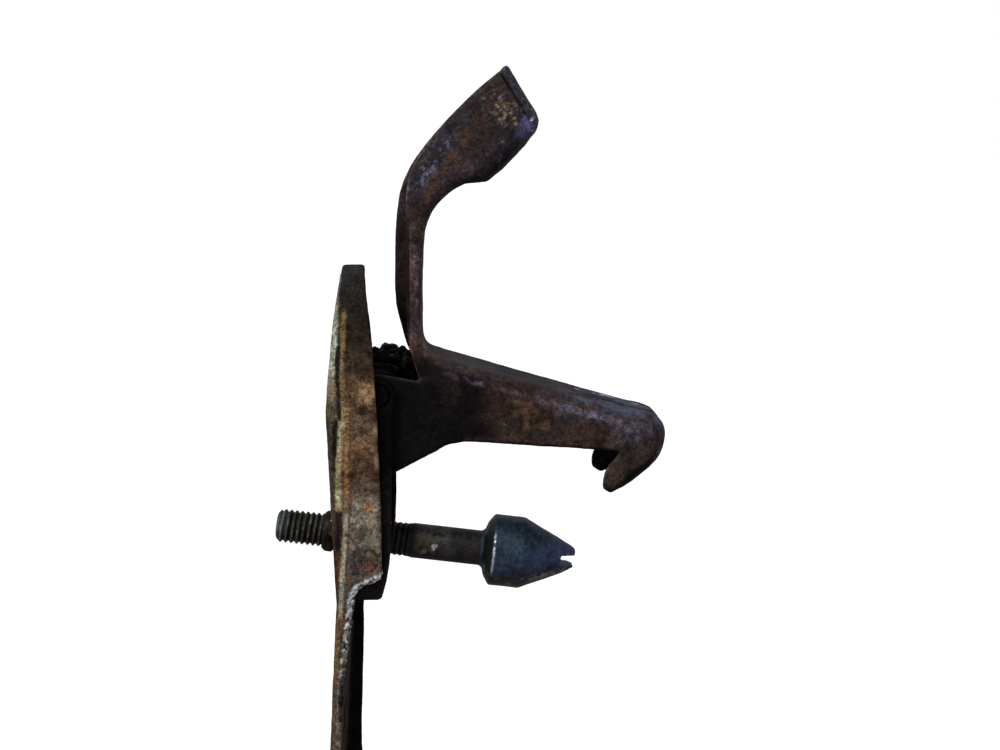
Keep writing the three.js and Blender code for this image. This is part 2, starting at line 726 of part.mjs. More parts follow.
// ---- assembly -----------------------------------------------------------
const part = new THREE.Group();
part.name = 'hood_latch_striker';
const assembly = new THREE.Group();
assembly.name = 'assembly';
assembly.position.set(-backX(ORIGIN_Z), 0, -ORIGIN_Z);
part.add(assembly);
assembly.add(basePlate());
assembly.add(pivotBracket());
assembly.add(baseRivet('base_rivet_near', -RIVET_Y));
assembly.add(baseRivet('base_rivet_far', RIVET_Y));
assembly.add(sideRivet());
assembly.add(threadedBush());
assembly.add(lockNut());
assembly.add(catchBolt());
assembly.add(pivotPin());
assembly.add(stopPin());
assembly.add(springSleeve());
assembly.add(torsionSpring());
assembly.add(safetyCatch());

export default part;
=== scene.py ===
"""Hood latch striker with safety catch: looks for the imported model.

The sheet metal pieces, pins, nut and rivets start from their CAD nodes, which are remeshed,
softened and roughened. The bolt, bush and spring are modelled here. Lengths are in millimetres
in the drawing frame, whose origin is where the bolt's axis crosses the plate, and at() turns
them into metres. Colours are given as seen on screen, 0 to 255.
"""
import math

import bpy
import numpy as np
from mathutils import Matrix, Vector


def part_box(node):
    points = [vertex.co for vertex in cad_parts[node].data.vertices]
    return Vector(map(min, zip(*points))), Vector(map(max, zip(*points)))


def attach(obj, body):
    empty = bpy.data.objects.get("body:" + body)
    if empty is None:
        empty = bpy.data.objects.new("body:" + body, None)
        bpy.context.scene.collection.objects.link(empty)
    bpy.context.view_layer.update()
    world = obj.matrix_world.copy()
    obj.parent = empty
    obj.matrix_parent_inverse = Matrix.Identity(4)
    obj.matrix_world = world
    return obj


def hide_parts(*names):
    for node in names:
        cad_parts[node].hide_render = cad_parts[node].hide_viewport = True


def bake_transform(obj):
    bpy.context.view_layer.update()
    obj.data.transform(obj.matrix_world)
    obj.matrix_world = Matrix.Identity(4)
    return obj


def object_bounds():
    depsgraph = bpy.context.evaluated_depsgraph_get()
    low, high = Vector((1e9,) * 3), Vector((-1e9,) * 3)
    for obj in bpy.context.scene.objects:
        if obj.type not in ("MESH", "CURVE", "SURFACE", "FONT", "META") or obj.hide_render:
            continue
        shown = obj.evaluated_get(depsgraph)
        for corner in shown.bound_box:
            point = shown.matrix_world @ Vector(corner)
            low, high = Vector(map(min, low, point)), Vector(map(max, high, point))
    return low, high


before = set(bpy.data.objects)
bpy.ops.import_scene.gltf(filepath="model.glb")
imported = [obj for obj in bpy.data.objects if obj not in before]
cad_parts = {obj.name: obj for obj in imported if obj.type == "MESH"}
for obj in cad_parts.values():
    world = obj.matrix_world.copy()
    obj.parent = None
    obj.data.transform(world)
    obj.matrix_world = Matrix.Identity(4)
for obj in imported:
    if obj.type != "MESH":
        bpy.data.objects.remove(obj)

cad_low, cad_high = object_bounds()

# ---- the drawing frame, found from the pivot pin ----
PIVOT = (11.4, 43.2)             # x and z of the pivot in the drawing, mm
_low, _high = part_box("pivot_pin")
ORIGIN = (Vector(_low) + Vector(_high)) / 2 - Vector((PIVOT[0], 0, PIVOT[1])) / 1000
BOLT_LEAN = math.atan(0.1225)    # the bolt leans down by this much


def at(x, y, z):
    """A point of the drawing in metres."""
    return ORIGIN + Vector((x, y, z)) / 1000


def drawn(mesh):
    """The vertices of a mesh in the drawing, mm."""
    return (positions(mesh) - np.array(ORIGIN)) * 1000


# ---- noise ----
def lattice(ix, iy, iz, seed):
    n = (ix * 73856093) ^ (iy * 19349663) ^ (iz * 83492791) ^ (seed * 40503 + 977)
    n = (n ^ (n >> 13)) & 0xFFFFFFFF
    n = (n * 1274126177) & 0xFFFFFFFF
    n = n ^ (n >> 16)
    return (n & 0xFFFF) / 65535.0


def noise(points, size, seed):
    """Smooth noise from 0 to 1 with features of about size mm."""
    q = points / size + 100.37 * (seed % 17)
    cell = np.floor(q).astype(np.int64)
    f = q - cell
    f = f * f * (3 - 2 * f)
    total = 0.0
    for dx in (0, 1):
        wx = f[:, 0] if dx else 1 - f[:, 0]
        for dy in (0, 1):
            wy = f[:, 1] if dy else 1 - f[:, 1]
            for dz in (0, 1):
                wz = f[:, 2] if dz else 1 - f[:, 2]
                corner = lattice(cell[:, 0] + dx, cell[:, 1] + dy, cell[:, 2] + dz, seed)
                total = total + wx * wy * wz * corner
    return total


def clouds(points, size, seed, octaves=4):
    """Layered noise from 0 to 1, centred on a half."""
    total, weight, level = 0.0, 0.0, 1.0
    for k in range(octaves):
        total = total + level * noise(points, size / 2 ** k, seed + k)
        weight += level
        level *= 0.55
    return total / weight


def ramp(low, high, value):
    """0 below low, 1 above high, smooth between; low may be above high."""
    t = np.clip((value - low) / (high - low), 0, 1)
    return t * t * (3 - 2 * t)


def near_line(value, level, width):
    """1 where value is at level, falling off over width."""
    return np.exp(-((value - level) / width) ** 2)


def distance_to(p, start, end):
    """Distance of each point to the line from start to end, which may be one point."""
    a, b = np.array(start, float), np.array(end, float)
    d = b - a
    t = np.clip(((p - a) @ d) / max(d @ d, 1e-9), 0, 1)
    return np.linalg.norm(p - (a + t[:, None] * d), axis=1)


def tone(r, g, b):
    """A colour as seen on screen, 0 to 255, as linear light."""
    c = np.array([r, g, b]) / 255.0
    return np.where(c <= 0.04045, c / 12.92, ((c + 0.055) / 1.055) ** 2.4)


# ---- meshes ----
def new_object(name, mesh):
    obj = bpy.data.objects.new(name, mesh)
    bpy.context.scene.collection.objects.link(obj)
    return obj


def settle(obj):
    """Applies the modifiers on obj."""
    graph = bpy.context.evaluated_depsgraph_get()
    mesh = bpy.data.meshes.new_from_object(obj.evaluated_get(graph))
    obj.modifiers.clear()
    obj.data = mesh
    return obj


def cut_away(obj, tool):
    """Cuts the solid tool out of obj and deletes it."""
    cut = obj.modifiers.new("cut", "BOOLEAN")
    cut.operation, cut.solver, cut.object = "DIFFERENCE", "EXACT", tool
    settle(obj)
    bpy.data.objects.remove(tool)


def copy_of(node, name):
    """A copy of a CAD node's mesh without its material."""
    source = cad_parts[node]
    obj = new_object(name, source.data.copy())
    obj.matrix_world = source.matrix_world.copy()
    obj.data.materials.clear()
    for attribute in ("UVMap", "custom_normal"):
        found = obj.data.attributes.get(attribute)
        if found:
            obj.data.attributes.remove(found)
    return obj


def grid_mesh(name, rings):
    """A closed skin through rows of points, mm in the drawing."""
    count = len(rings[0])
    points = [at(*p) for ring in rings for p in ring]
    faces = []
    for k in range(len(rings) - 1):
        for i in range(count):
            j = (i + 1) % count
            faces.append((k * count + i, k * count + j, (k + 1) * count + j, (k + 1) * count + i))
    faces.append(tuple(reversed(range(count))))
    last = (len(rings) - 1) * count
    faces.append(tuple(range(last, last + count)))
    mesh = bpy.data.meshes.new(name)
    mesh.from_pydata(points, [], faces)
    mesh.validate()
    return mesh


def read(items, name, width, kind=float):
    """One property of all items of a mesh, width numbers each."""
    values = np.empty(len(items) * width, dtype=kind)
    items.foreach_get(name, values)
    return values.reshape(-1, width)


def positions(mesh):
    return read(mesh.vertices, "co", 3)


def normals(mesh):
    return read(mesh.vertex_normals, "vector", 3)


def links(mesh):
    return read(mesh.edges, "vertices", 2, np.int64)


def move(mesh, points):
    """Puts the vertices at points, metres."""
    mesh.vertices.foreach_set("co", points.ravel())
    mesh.update()


def place(mesh, points):
    """Puts the vertices at points of the drawing, mm."""
    move(mesh, points / 1000 + np.array(ORIGIN))


def neighbour_mean(values, edges):
    """The mean of each vertex's neighbours."""
    total = np.zeros_like(values)
    np.add.at(total, edges[:, 0], values[edges[:, 1]])
    np.add.at(total, edges[:, 1], values[edges[:, 0]])
    degree = np.bincount(edges.ravel(), minlength=len(values)).astype(float)
    degree[degree == 0] = 1
    return total / (degree[:, None] if values.ndim == 2 else degree)


def relax(mesh, passes):
    """Moves each vertex half way to the mean of its neighbours, passes times."""
    co, edges = positions(mesh), links(mesh)
    for _ in range(passes):
        co = co + (neighbour_mean(co, edges) - co) * 0.5
    move(mesh, co)


def remesh(obj, voxel, passes):
    """Rebuilds obj as one even skin of voxel mm, with its edges softened."""
    modifier = obj.modifiers.new("even", "REMESH")
    modifier.mode = "VOXEL"
    modifier.voxel_size = voxel / 1000
    settle(obj)
    relax(obj.data, passes)
    return obj


def edge_sharpness(mesh, spread=5):
    """About 1 on outer edges, 0 on flat faces and -1 in inner corners."""
    co, edges = positions(mesh), links(mesh)
    pull = ((co - neighbour_mean(co, edges)) * normals(mesh)).sum(axis=1)
    for _ in range(spread):
        pull = 0.5 * pull + 0.5 * neighbour_mean(pull, edges)
    scale = np.percentile(np.abs(pull), 97) + 1e-12
    return np.clip(pull / scale, -1.5, 1.5)


def push(mesh, height):
    """Moves each vertex along its normal by height mm."""
    move(mesh, positions(mesh) + normals(mesh) * (height[:, None] / 1000))


# ---- paint: a tint and four masks on the vertices ----
class Coat:
    """Paint on a mesh: tint is linear colour; wear, grease, rust and metal go from 0 to 1."""

    def __init__(self, obj, base, seed):
        self.obj, self.seed = obj, seed
        self.p = drawn(obj.data)
        self.n = normals(obj.data)
        self.edge = edge_sharpness(obj.data)
        self.tint = np.tile(tone(*base), (len(self.p), 1))
        self.wear = np.zeros(len(self.p))
        self.grease = np.zeros(len(self.p))
        self.rust = np.full(len(self.p), 0.35)
        self.metal = np.full(len(self.p), 0.3)

    def cloud(self, size, low, high, octaves=4):
        self.seed += 11
        return ramp(low, high, clouds(self.p, size, self.seed, octaves))

    def lay(self, linear, weight):
        """Lays linear colour over the tint."""
        w = np.clip(weight, 0, 1)[:, None]
        self.tint = self.tint * (1 - w) + linear * w

    def blend(self, colour, weight):
        self.lay(tone(*colour), weight)

    def patches(self, colour, mask, size, low, high, strength, octaves=5):
        """Ragged patches of colour where mask is above 0."""
        self.blend(colour, mask * self.cloud(size, low, high, octaves) * strength)

    def stroke(self, colour, start, end, radius, strength=1.0, ragged=0.5, grain=None):
        """A line of colour with a ragged border."""
        self.seed += 7
        border = ragged * (clouds(self.p, grain or radius, self.seed) - 0.5) * 2
        weight = ramp(1.0, 0.45, distance_to(self.p, start, end) / radius + border)
        self.blend(colour, weight * strength)

    def dab(self, colour, centre, *shape):
        """A spot of colour; shape is what stroke takes after its ends."""
        self.stroke(colour, centre, centre, *shape)

    def bands(self, stops, weight, wander=5.0, size=8.0):
        """Colours that change with height; stops are (z, colour) from the top down."""
        self.seed += 13
        z = self.p[:, 2] + wander * (clouds(self.p, size, self.seed) - 0.5) * 2
        levels = np.array([stop[0] for stop in stops][::-1], float)
        colours = np.array([tone(*stop[1]) for stop in stops][::-1])
        found = np.stack([np.interp(z, levels, colours[:, k]) for k in range(3)], axis=1)
        self.lay(found, weight)

    def save(self):
        mesh = self.obj.data
        colour = np.ones((len(self.p), 4))
        colour[:, :3] = self.tint
        made = mesh.attributes.new("tint", "FLOAT_COLOR", "POINT")
        made.data.foreach_set("color", colour.ravel())
        for name in ("wear", "grease", "rust", "metal"):
            made = mesh.attributes.new(name, "FLOAT", "POINT")
            made.data.foreach_set("value", np.clip(getattr(self, name), 0, 1))


# ---- material ----
class Nodes:
    """Short calls for building a node tree."""

    def __init__(self, material):
        material.use_nodes = True
        self.tree = material.node_tree
        self.tree.nodes.clear()

    def add(self, kind, **values):
        node = self.tree.nodes.new(kind)
        for key, value in values.items():
            setattr(node, key, value)
        return node

    def link(self, a, b):
        self.tree.links.new(a, b)

    def put(self, socket, value):
        if hasattr(value, "is_output"):
            self.link(value, socket)
        else:
            socket.default_value = value

    def math(self, op, a, b=0.0, c=None, clamp=False):
        node = self.add("ShaderNodeMath", operation=op, use_clamp=clamp)
        self.put(node.inputs[0], a)
        self.put(node.inputs[1], b)
        if c is not None:
            self.put(node.inputs[2], c)
        return node.outputs[0]

    def remap(self, value, low, high, to_low, to_high):
        node = self.add("ShaderNodeMapRange", clamp=True)
        self.put(node.inputs["Value"], value)
        for key, limit in zip(("From Min", "From Max", "To Min", "To Max"), (low, high, to_low, to_high)):
            node.inputs[key].default_value = limit
        return node.outputs[0]

    def mix(self, weight, a, b, blend="MIX"):
        node = self.add("ShaderNodeMix", data_type="RGBA", blend_type=blend)
        self.put(node.inputs[0], weight)
        self.put(node.inputs[6], a)
        self.put(node.inputs[7], b)
        return node.outputs[2]

    def noise(self, coords, scale, detail=4.0, rough=0.6, twist=0.0):
        node = self.add("ShaderNodeTexNoise")
        self.link(coords, node.inputs["Vector"])
        for key, value in zip(("Scale", "Detail", "Roughness", "Distortion"), (scale, detail, rough, twist)):
            node.inputs[key].default_value = value
        return node.outputs["Fac"]

    def attribute(self, name, out="Fac"):
        return self.add("ShaderNodeAttribute", attribute_name=name).outputs[out]


def rgba(colour):
    return (*colour, 1.0)


def worn_steel(name, rust_colour, bright, relief=0.00035, rough=0.72, contrast=1.0, gloss=0.07):
    """Weathered steel: tint with mottling and speckle, rust bloom, pits, rubbed bright metal."""
    material = bpy.data.materials.new(name)
    g = Nodes(material)
    coords = g.add("ShaderNodeTexCoord").outputs["Object"]
    tint = g.attribute("tint", "Color")
    wear, grease = g.attribute("wear"), g.attribute("grease")
    rust, metal = g.attribute("rust"), g.attribute("metal")

    broad = g.noise(coords, 210, 5, 0.62, 0.3)
    fine = g.noise(coords, 900, 4, 0.72)
    grain = g.noise(coords, 2300, 3, 0.7)
    swing = 0.5 * contrast
    shade = g.math("MULTIPLY", g.remap(broad, 0.3, 0.7, 1 - 0.7 * swing, 1 + 0.7 * swing),
                   g.remap(fine, 0.32, 0.68, 1 - swing, 1 + swing))
    shade = g.math("MULTIPLY", shade, g.remap(grain, 0.32, 0.68, 1 - 0.42 * contrast, 1 + 0.5 * contrast))
    body = g.mix(1.0, tint, shade, "MULTIPLY")

    # warm and cool drift
    drift = g.remap(g.noise(coords, 420, 3, 0.6, 0.3), 0.38, 0.62, 0, 1)
    hue = g.mix(drift, rgba((1.16, 0.97, 0.86)), rgba((0.88, 1.0, 1.14)))
    body = g.mix(1.0, body, hue, "MULTIPLY")

    # rust bloom
    bloom = g.noise(coords, 420, 6, 0.72, 0.25)
    bloom = g.math("MULTIPLY", g.remap(bloom, 0.52, 0.66, 0, 1), rust)
    body = g.mix(g.math("MULTIPLY", bloom, 0.7), body, rgba(rust_colour))

    # pits
    cells = g.add("ShaderNodeTexVoronoi", feature="F1")
    g.link(coords, cells.inputs["Vector"])
    cells.inputs["Scale"].default_value = 950
    pit = g.remap(cells.outputs["Distance"], 0.08, 0.32, 1, 0)
    pit = g.math("MULTIPLY", pit, g.remap(broad, 0.48, 0.62, 0, 1))
    body = g.mix(g.math("MULTIPLY", pit, 0.55), body, rgba((0.004, 0.003, 0.003)))

    # rubbed bright metal
    rubbed = g.math("ADD", wear, g.remap(fine, 0.25, 0.75, -0.34, 0.34))
    rubbed = g.math("MULTIPLY", g.remap(rubbed, 0.42, 0.62, 0, 1), g.remap(wear, 0.02, 0.2, 0, 1))
    body = g.mix(rubbed, body, rgba(bright))

    shader = g.add("ShaderNodeBsdfPrincipled")
    g.link(body, shader.inputs["Base Color"])
    metallic = g.math("MULTIPLY_ADD", bloom, -0.5, metal, clamp=True)
    metallic = g.math("MAXIMUM", metallic, g.math("MULTIPLY", rubbed, 0.75))
    g.link(metallic, shader.inputs["Metallic"])
    level = g.math("MULTIPLY_ADD", g.remap(fine, 0.3, 0.7, -0.12, 0.12), 1.0, rough)
    level = g.math("MULTIPLY_ADD", grease, -0.26, level)
    level = g.math("MULTIPLY_ADD", rubbed, -0.3, level)
    level = g.math("MULTIPLY_ADD", bloom, 0.14, level, clamp=True)
    g.link(level, shader.inputs["Roughness"])
    shader.inputs["Specular IOR Level"].default_value = gloss

    height = g.math("MULTIPLY", broad, 0.9)
    for part, weight in ((fine, 0.7), (grain, 0.32), (bloom, 0.25), (pit, -0.35), (rubbed, -0.1)):
        height = g.math("MULTIPLY_ADD", part, weight, height)
    bump = g.add("ShaderNodeBump")
    bump.inputs["Strength"].default_value = 0.8
    bump.inputs["Distance"].default_value = relief
    g.link(height, bump.inputs["Height"])
    g.link(bump.outputs[0], shader.inputs["Normal"])
    out = g.add("ShaderNodeOutputMaterial")
    g.link(shader.outputs[0], out.inputs["Surface"])
    return material


RUST_TAN = tuple(tone(128, 88, 56))
RUST_DARK = tuple(tone(82, 52, 36))
RUST_DEEP = tuple(tone(58, 38, 30))
STEEL = tuple(tone(176, 182, 186))
BLUE_STEEL = tuple(tone(132, 140, 158))

PLATE_METAL = worn_steel("plate_rust", RUST_TAN, STEEL, 0.00045, 0.82, 1.5)
CATCH_METAL = worn_steel("catch_rust", RUST_DARK, BLUE_STEEL, 0.00032, 0.66, 1.35)
INNER_METAL = worn_steel("inner_rust", RUST_DEEP, STEEL, 0.0003, 0.72, 1.0)
BOLT_METAL = worn_steel("bolt_oxide", RUST_DEEP, STEEL, 0.00018, 0.5, 0.9, 0.14)
GREASE = worn_steel("old_grease", RUST_DEEP, STEEL, 0.0005, 0.6, 1.0, 0.1)


def finish_piece(obj, coat, material, node, body):
    coat.save()
    obj.data.materials.append(material)
    obj.data.shade_smooth()
    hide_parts(node)
    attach(obj, body)


# ---- base plate ----
def back_of_plate(z):
    """x of the plate's back at height z, mm."""
    return np.interp(z, [-80, -16.5, 38.6, 50, 78.3], [-4.41, -0.85, -3.25, -2.28, 0.79])


# colours of the near flange and of the left bend, from the top down (height and colour)
# the darkest tones at the top of the flange are painted shade where it curves away
FLANGE_BANDS = [
    (78, (38, 36, 34)), (70, (29, 27, 24)), (62, (34, 28, 23)), (54, (43, 34, 27)),
    (50, (58, 47, 37)), (46.5, (102, 80, 57)), (43.5, (100, 78, 56)), (40, (86, 67, 51)),
    (36, (100, 83, 62)), (30, (112, 92, 70)), (26.5, (92, 72, 54)), (23.5, (53, 40, 32)),
    (19.5, (72, 58, 46)), (16.5, (102, 91, 76)), (8, (112, 107, 91)), (4, (112, 108, 93)),
    (0.5, (100, 94, 80)), (-3.5, (74, 62, 52)), (-8, (84, 72, 58)), (-14, (70, 58, 44)),
]
# the pale bend tones from 63 down to 50 are a painted highlight where the bend catches the light from the
# left
BEND_BANDS = [
    (78, (52, 48, 38)), (70, (84, 76, 54)), (63, (126, 124, 106)), (57, (124, 122, 104)),
    (50, (112, 108, 90)), (44, (98, 90, 70)), (41, (86, 74, 52)), (37.5, (70, 58, 42)),
    (33, (52, 45, 38)), (27, (60, 52, 42)), (20, (70, 60, 46)), (12, (66, 52, 38)),
    (4, (58, 42, 33)), (-4, (60, 42, 33)), (-14, (78, 60, 42)), (-26, (104, 88, 64)), (-40, (70, 58, 46)),
]

# lines on the side of the plate, as x and z: the torn border of the near flange from the rim
# down to the web, two strips along the bend that carry tan colour and a painted highlight, a crease with a
# painted shadow line, and a hollow behind them painted in shade
TEAR = [(12.2, -7.4), (10.2, -8.7), (7.3, -9.8), (5.4, -10.7), (4.3, -12.1), (3.8, -14.3), (3.4, -17.4),
        (2.7, -22.7), (2.0, -28.5), (0.7, -40.2), (0.3, -49.0)]
PALE_LINE = [(2.1, 42.7), (1.8, 39.3), (1.0, 31.5), (0.5, 25.8), (0.2, 20.2), (0.2, 12.0)]
TAN_LINE = [(1.9, 74.0), (2.1, 68.0), (2.1, 61.6), (1.8, 54.9), (1.7, 48.3), (2.5, 43.5), (3.1, 40.0),
            (2.7, 31.6), (2.5, 23.1), (2.6, 14.6), (2.3, 10.1), (1.9, 3.2), (1.4, -2.5), (0.9, -8.2),
            (0.7, -14.0), (0.0, -19.8), (-0.4, -25.6)]
CREASE = [(1.0, 57.0), (0.7, 51.6), (0.6, 46.9), (0.8, 41.6), (0.9, 37.5)]
HOLLOW = [(-0.5, 36.1), (-0.8, 31.3), (-0.9, 27.1), (-0.8, 22.8)]
BUSH_SHADOW = [(0.7, 10.2), (1.0, 6.0), (0.3, 1.4)]
SLOT_HEIGHTS = (58.0, -58.0)


def side_distance(p, route):
    """Distance to a line drawn on the side of the plate."""
    flat = p * np.array((1, 0, 1))
    route = [(x, 0, z) for x, z in route]
    return np.min([distance_to(flat, a, b) for a, b in zip(route, route[1:])], axis=0)


def base_plate():
    obj = remesh(copy_of("base_plate", "worn_plate"), 0.42, 4)
    mesh = obj.data
    p = drawn(mesh)
    y = p[:, 1]

    # the torn border of the near flange, ragged all along
    skin = ramp(-19.6, -20.4, y)
    lip = side_distance(p, TEAR)
    push(mesh, ramp(2.1, 0.9, lip) * skin * ((clouds(p, 1.3, 6, 3) - 0.5) * 1.5 - 0.1))
    # a groove beside the left bend, and a hollow behind it lower down
    crease = ramp(0.7, 0.2, side_distance(p, CREASE)) * skin
    nick = ramp(1.2, 0.3, side_distance(p, HOLLOW)) * skin
    height = 0.12 + (clouds(p, 7.0, 3) - 0.5) * 0.34 + (clouds(p, 1.3, 9, 3) - 0.5) * 0.16
    push(mesh, height - 0.55 * crease - 0.6 * nick)

    coat = Coat(obj, (78, 64, 48), 20)
    x, y, z = coat.p.T
    outer = ramp(-21.6, -22.4, y)
    back = ramp(-0.35, -0.8, coat.n[:, 0])
    inside = ramp(0.3, 0.8, coat.n[:, 0])
    from_back = x - back_of_plate(z)

    # near flange from the top down, with painted shade darkening the top where the flange curves away, and
    # lighter and darker patches
    coat.rust[:] = 0.45
    coat.bands(FLANGE_BANDS, np.ones(len(z)), 2.2, 6.0)
    low = ramp(53, 46, z)
    coat.patches((146, 118, 86), outer * low * ramp(10, 18, z), 4.5, 0.52, 0.66, 0.6)
    coat.patches((58, 43, 34), outer * low * ramp(8, 20, z), 4, 0.52, 0.64, 0.75)
    coat.patches((146, 142, 122), outer * ramp(18, 12, z), 3.4, 0.5, 0.66, 0.55)
    coat.patches((66, 62, 56), outer * ramp(14, 8, z), 3.6, 0.52, 0.66, 0.7)
    coat.patches((92, 68, 44), outer * ramp(62, 72, z) * ramp(6.6, 8.6, x), 4, 0.42, 0.6, 0.6, 4)
    coat.dab((60, 44, 36), (7.0, -23, 23.5), 4.6, 0.7, 0.7, 3)
    coat.dab((58, 46, 38), (8.6, -23, 53.0), 3.0, 0.7, 0.7, 2)
    coat.dab((156, 126, 88), (8.7, -23, 45.0), 3.2, 0.7, 0.9, 2)
    coat.dab((34, 29, 26), (7.3, -23, 39.6), 1.7, 0.9, 0.5)
    coat.dab((148, 104, 66), (8.4, -23, 12.6), 1.7, 0.6, 0.8, 1.2)
    coat.stroke((50, 41, 35), (8.0, -23, 17.4), (11.6, -23, 17.0), 0.45, 0.8, 0.3, 1.0)

    # ring left by a washer round the side rivet
    ring = np.hypot(x - 7.1, z + 2.6) + 0.8 * (clouds(coat.p, 2.0, 37) - 0.5)
    coat.blend((52, 53, 52), outer * ramp(1.3, 0.3, np.abs(ring - 3.6)) * 0.7)
    coat.patches((98, 96, 90), outer * ramp(1.2, 0.3, np.abs(ring - 5.2)), 2, 0.4, 0.6, 0.5, 4)

    # left bend: a painted highlight makes it pale above, brown below
    bend = ramp(0.15, 0.5, -coat.n[:, 0]) * ramp(-15, -18.5, y)
    coat.bands(BEND_BANDS, bend, 1.8, 5.0)
    coat.patches((70, 52, 36), bend * ramp(66, 30, z), 3, 0.55, 0.68, 0.7)
    # painted highlight: pale patches on the upper bend
    coat.patches((176, 178, 164), bend * ramp(44, 50, z) * ramp(66, 58, z), 4, 0.5, 0.64, 0.5, 4)
    coat.blend((122, 98, 58), ramp(1.5, 0.6, np.abs(from_back - 1.9)) * ramp(-21.4, -22.2, y)
               * ramp(66, 72, z) * 0.5)

    # along the bend: painted shade in a hollow at the back, a painted shadow behind the bush, pale and tan
    # strips with a painted highlight, and painted shade along a crease
    skin = ramp(-17.5, -19.0, y)
    wobble = 0.6 * (clouds(coat.p, 2.5, 43) - 0.5)
    hollow = side_distance(coat.p, HOLLOW) + wobble
    # painted shade: the hollow at the back of the bend is painted near black
    coat.blend((13, 11, 12), ramp(1.4, 0.3, hollow) * skin * ramp(19, 28, z) * ramp(39, 35, z) * 0.95)
    back_line = skin * ramp(1.9, 0.9, from_back)
    speckled = ramp(10, 14, z) * ramp(40, 34, z) * coat.cloud(3, 0.32, 0.52)
    coat.blend((50, 45, 37), back_line * speckled * 0.85)
    coat.blend((48, 34, 28), back_line * ramp(3, -1, z) * ramp(-24, -16, z) * 0.85)
    shade = side_distance(coat.p, BUSH_SHADOW)
    shade = ramp(1.9, 1.0, shade) * ramp(-14, -16, y) * ramp(0.3, -0.1, coat.n[:, 0])
    coat.blend((16, 12, 11), shade * 0.95)
    pale = side_distance(coat.p, PALE_LINE) + wobble
    tan = side_distance(coat.p, TAN_LINE) + wobble
    tan_border = ramp(1.3, 0.8, np.abs(tan - 0.2)) * ramp(44, 36, z) * ramp(-30, -22, z)
    coat.blend((76, 52, 38), tan_border * skin * 0.75)
    # painted highlight: a pale strip where the bend catches the light
    coat.blend((150, 142, 108), ramp(1.1, 0.4, pale) * skin * ramp(44, 38, z) * ramp(9, 14, z) * 0.85)
    coat.blend((138, 108, 70), ramp(0.9, 0.4, tan) * skin * ramp(44, 40, z) * ramp(8, 15, z) * 0.75)
    # painted highlight: the same pale band lower down, beside the tan strip
    coat.blend((142, 144, 126), ramp(0.85, 0.4, tan) * skin * ramp(15, 8, z) * ramp(-24, -12, z) * 0.85)
    upper_tan = ramp(1.0, 0.4, tan) * skin * ramp(76, 72, z) * ramp(42, 45, z)
    coat.patches((124, 104, 64), upper_tan, 3, 0.3, 0.5, 0.7, 4)
    crease = side_distance(coat.p, CREASE) + 0.5 * wobble
    # painted shade: a dark line along the crease
    coat.blend((30, 25, 18), ramp(0.8, 0.3, crease) * skin * 0.92)

    # back of the pan: pale worn paint with brown between
    flat_back = back * ramp(-20, -17, y)
    coat.blend((128, 124, 108), flat_back * ramp(76, 68, z) * ramp(35, 41, z) * 0.9)
    coat.blend((92, 78, 58), flat_back * ramp(44, 34, z) * 0.8)
    coat.patches((76, 56, 42), flat_back, 8, 0.44, 0.6, 0.75, 4)
    coat.patches((150, 146, 130), flat_back, 5, 0.56, 0.7, 0.5, 4)
    for cz in SLOT_HEIGHTS:
        ring = distance_to(coat.p, (back_of_plate(cz), 0, cz - 3.2), (back_of_plate(cz), 0, cz + 3.2))
        coat.patches((44, 36, 32), back * ramp(2.2, 0.6, np.abs(ring - 8.6)), 3, 0.3, 0.5, 0.8, 4)
        coat.wear = np.maximum(coat.wear, back * ramp(8.2, 6.0, ring) * 0.3)

    # inside of the pan and the web below the cut: nearly black
    dark = np.maximum(inside * ramp(0.5, 1.5, from_back) * 0.97, ramp(-21.0, -20.0, y) * inside)
    dark = dark * ramp(-21.8, -20.9, y)
    below = ramp(-9, -12, z) * ramp(-20.9, -20.1, y) * (1 - back)
    dark = np.maximum(dark, below)
    coat.blend((17, 13, 15), dark)
    coat.patches((30, 23, 22), dark, 6, 0.52, 0.68, 0.5, 4)
    coat.blend((24, 19, 20), ramp(8, 14, y) * (1 - back) * 0.9)

    # floor of the pan and the outside of the far flange: brown rust
    pan = ramp(0.5, 0.85, coat.n[:, 0]) * ramp(-19.6, -18.4, y) * ramp(22, 20.5, y)
    coat.blend((92, 72, 54), pan * ramp(-12, -6, z) * 0.95)
    coat.blend((50, 40, 35), pan * ramp(-6, -12, z) * 0.95)
    coat.patches((44, 33, 28), pan, 9, 0.46, 0.6, 0.8)
    coat.patches((118, 84, 56), pan * ramp(-12, -6, z), 5, 0.54, 0.66, 0.7)
    outer_far = ramp(0.3, 0.7, coat.n[:, 1]) * ramp(18, 20, y)
    coat.blend((96, 80, 62), outer_far * 0.95)
    coat.patches((58, 44, 35), outer_far, 9, 0.46, 0.6, 0.85)
    coat.patches((142, 134, 112), outer_far, 6, 0.56, 0.66, 0.75)

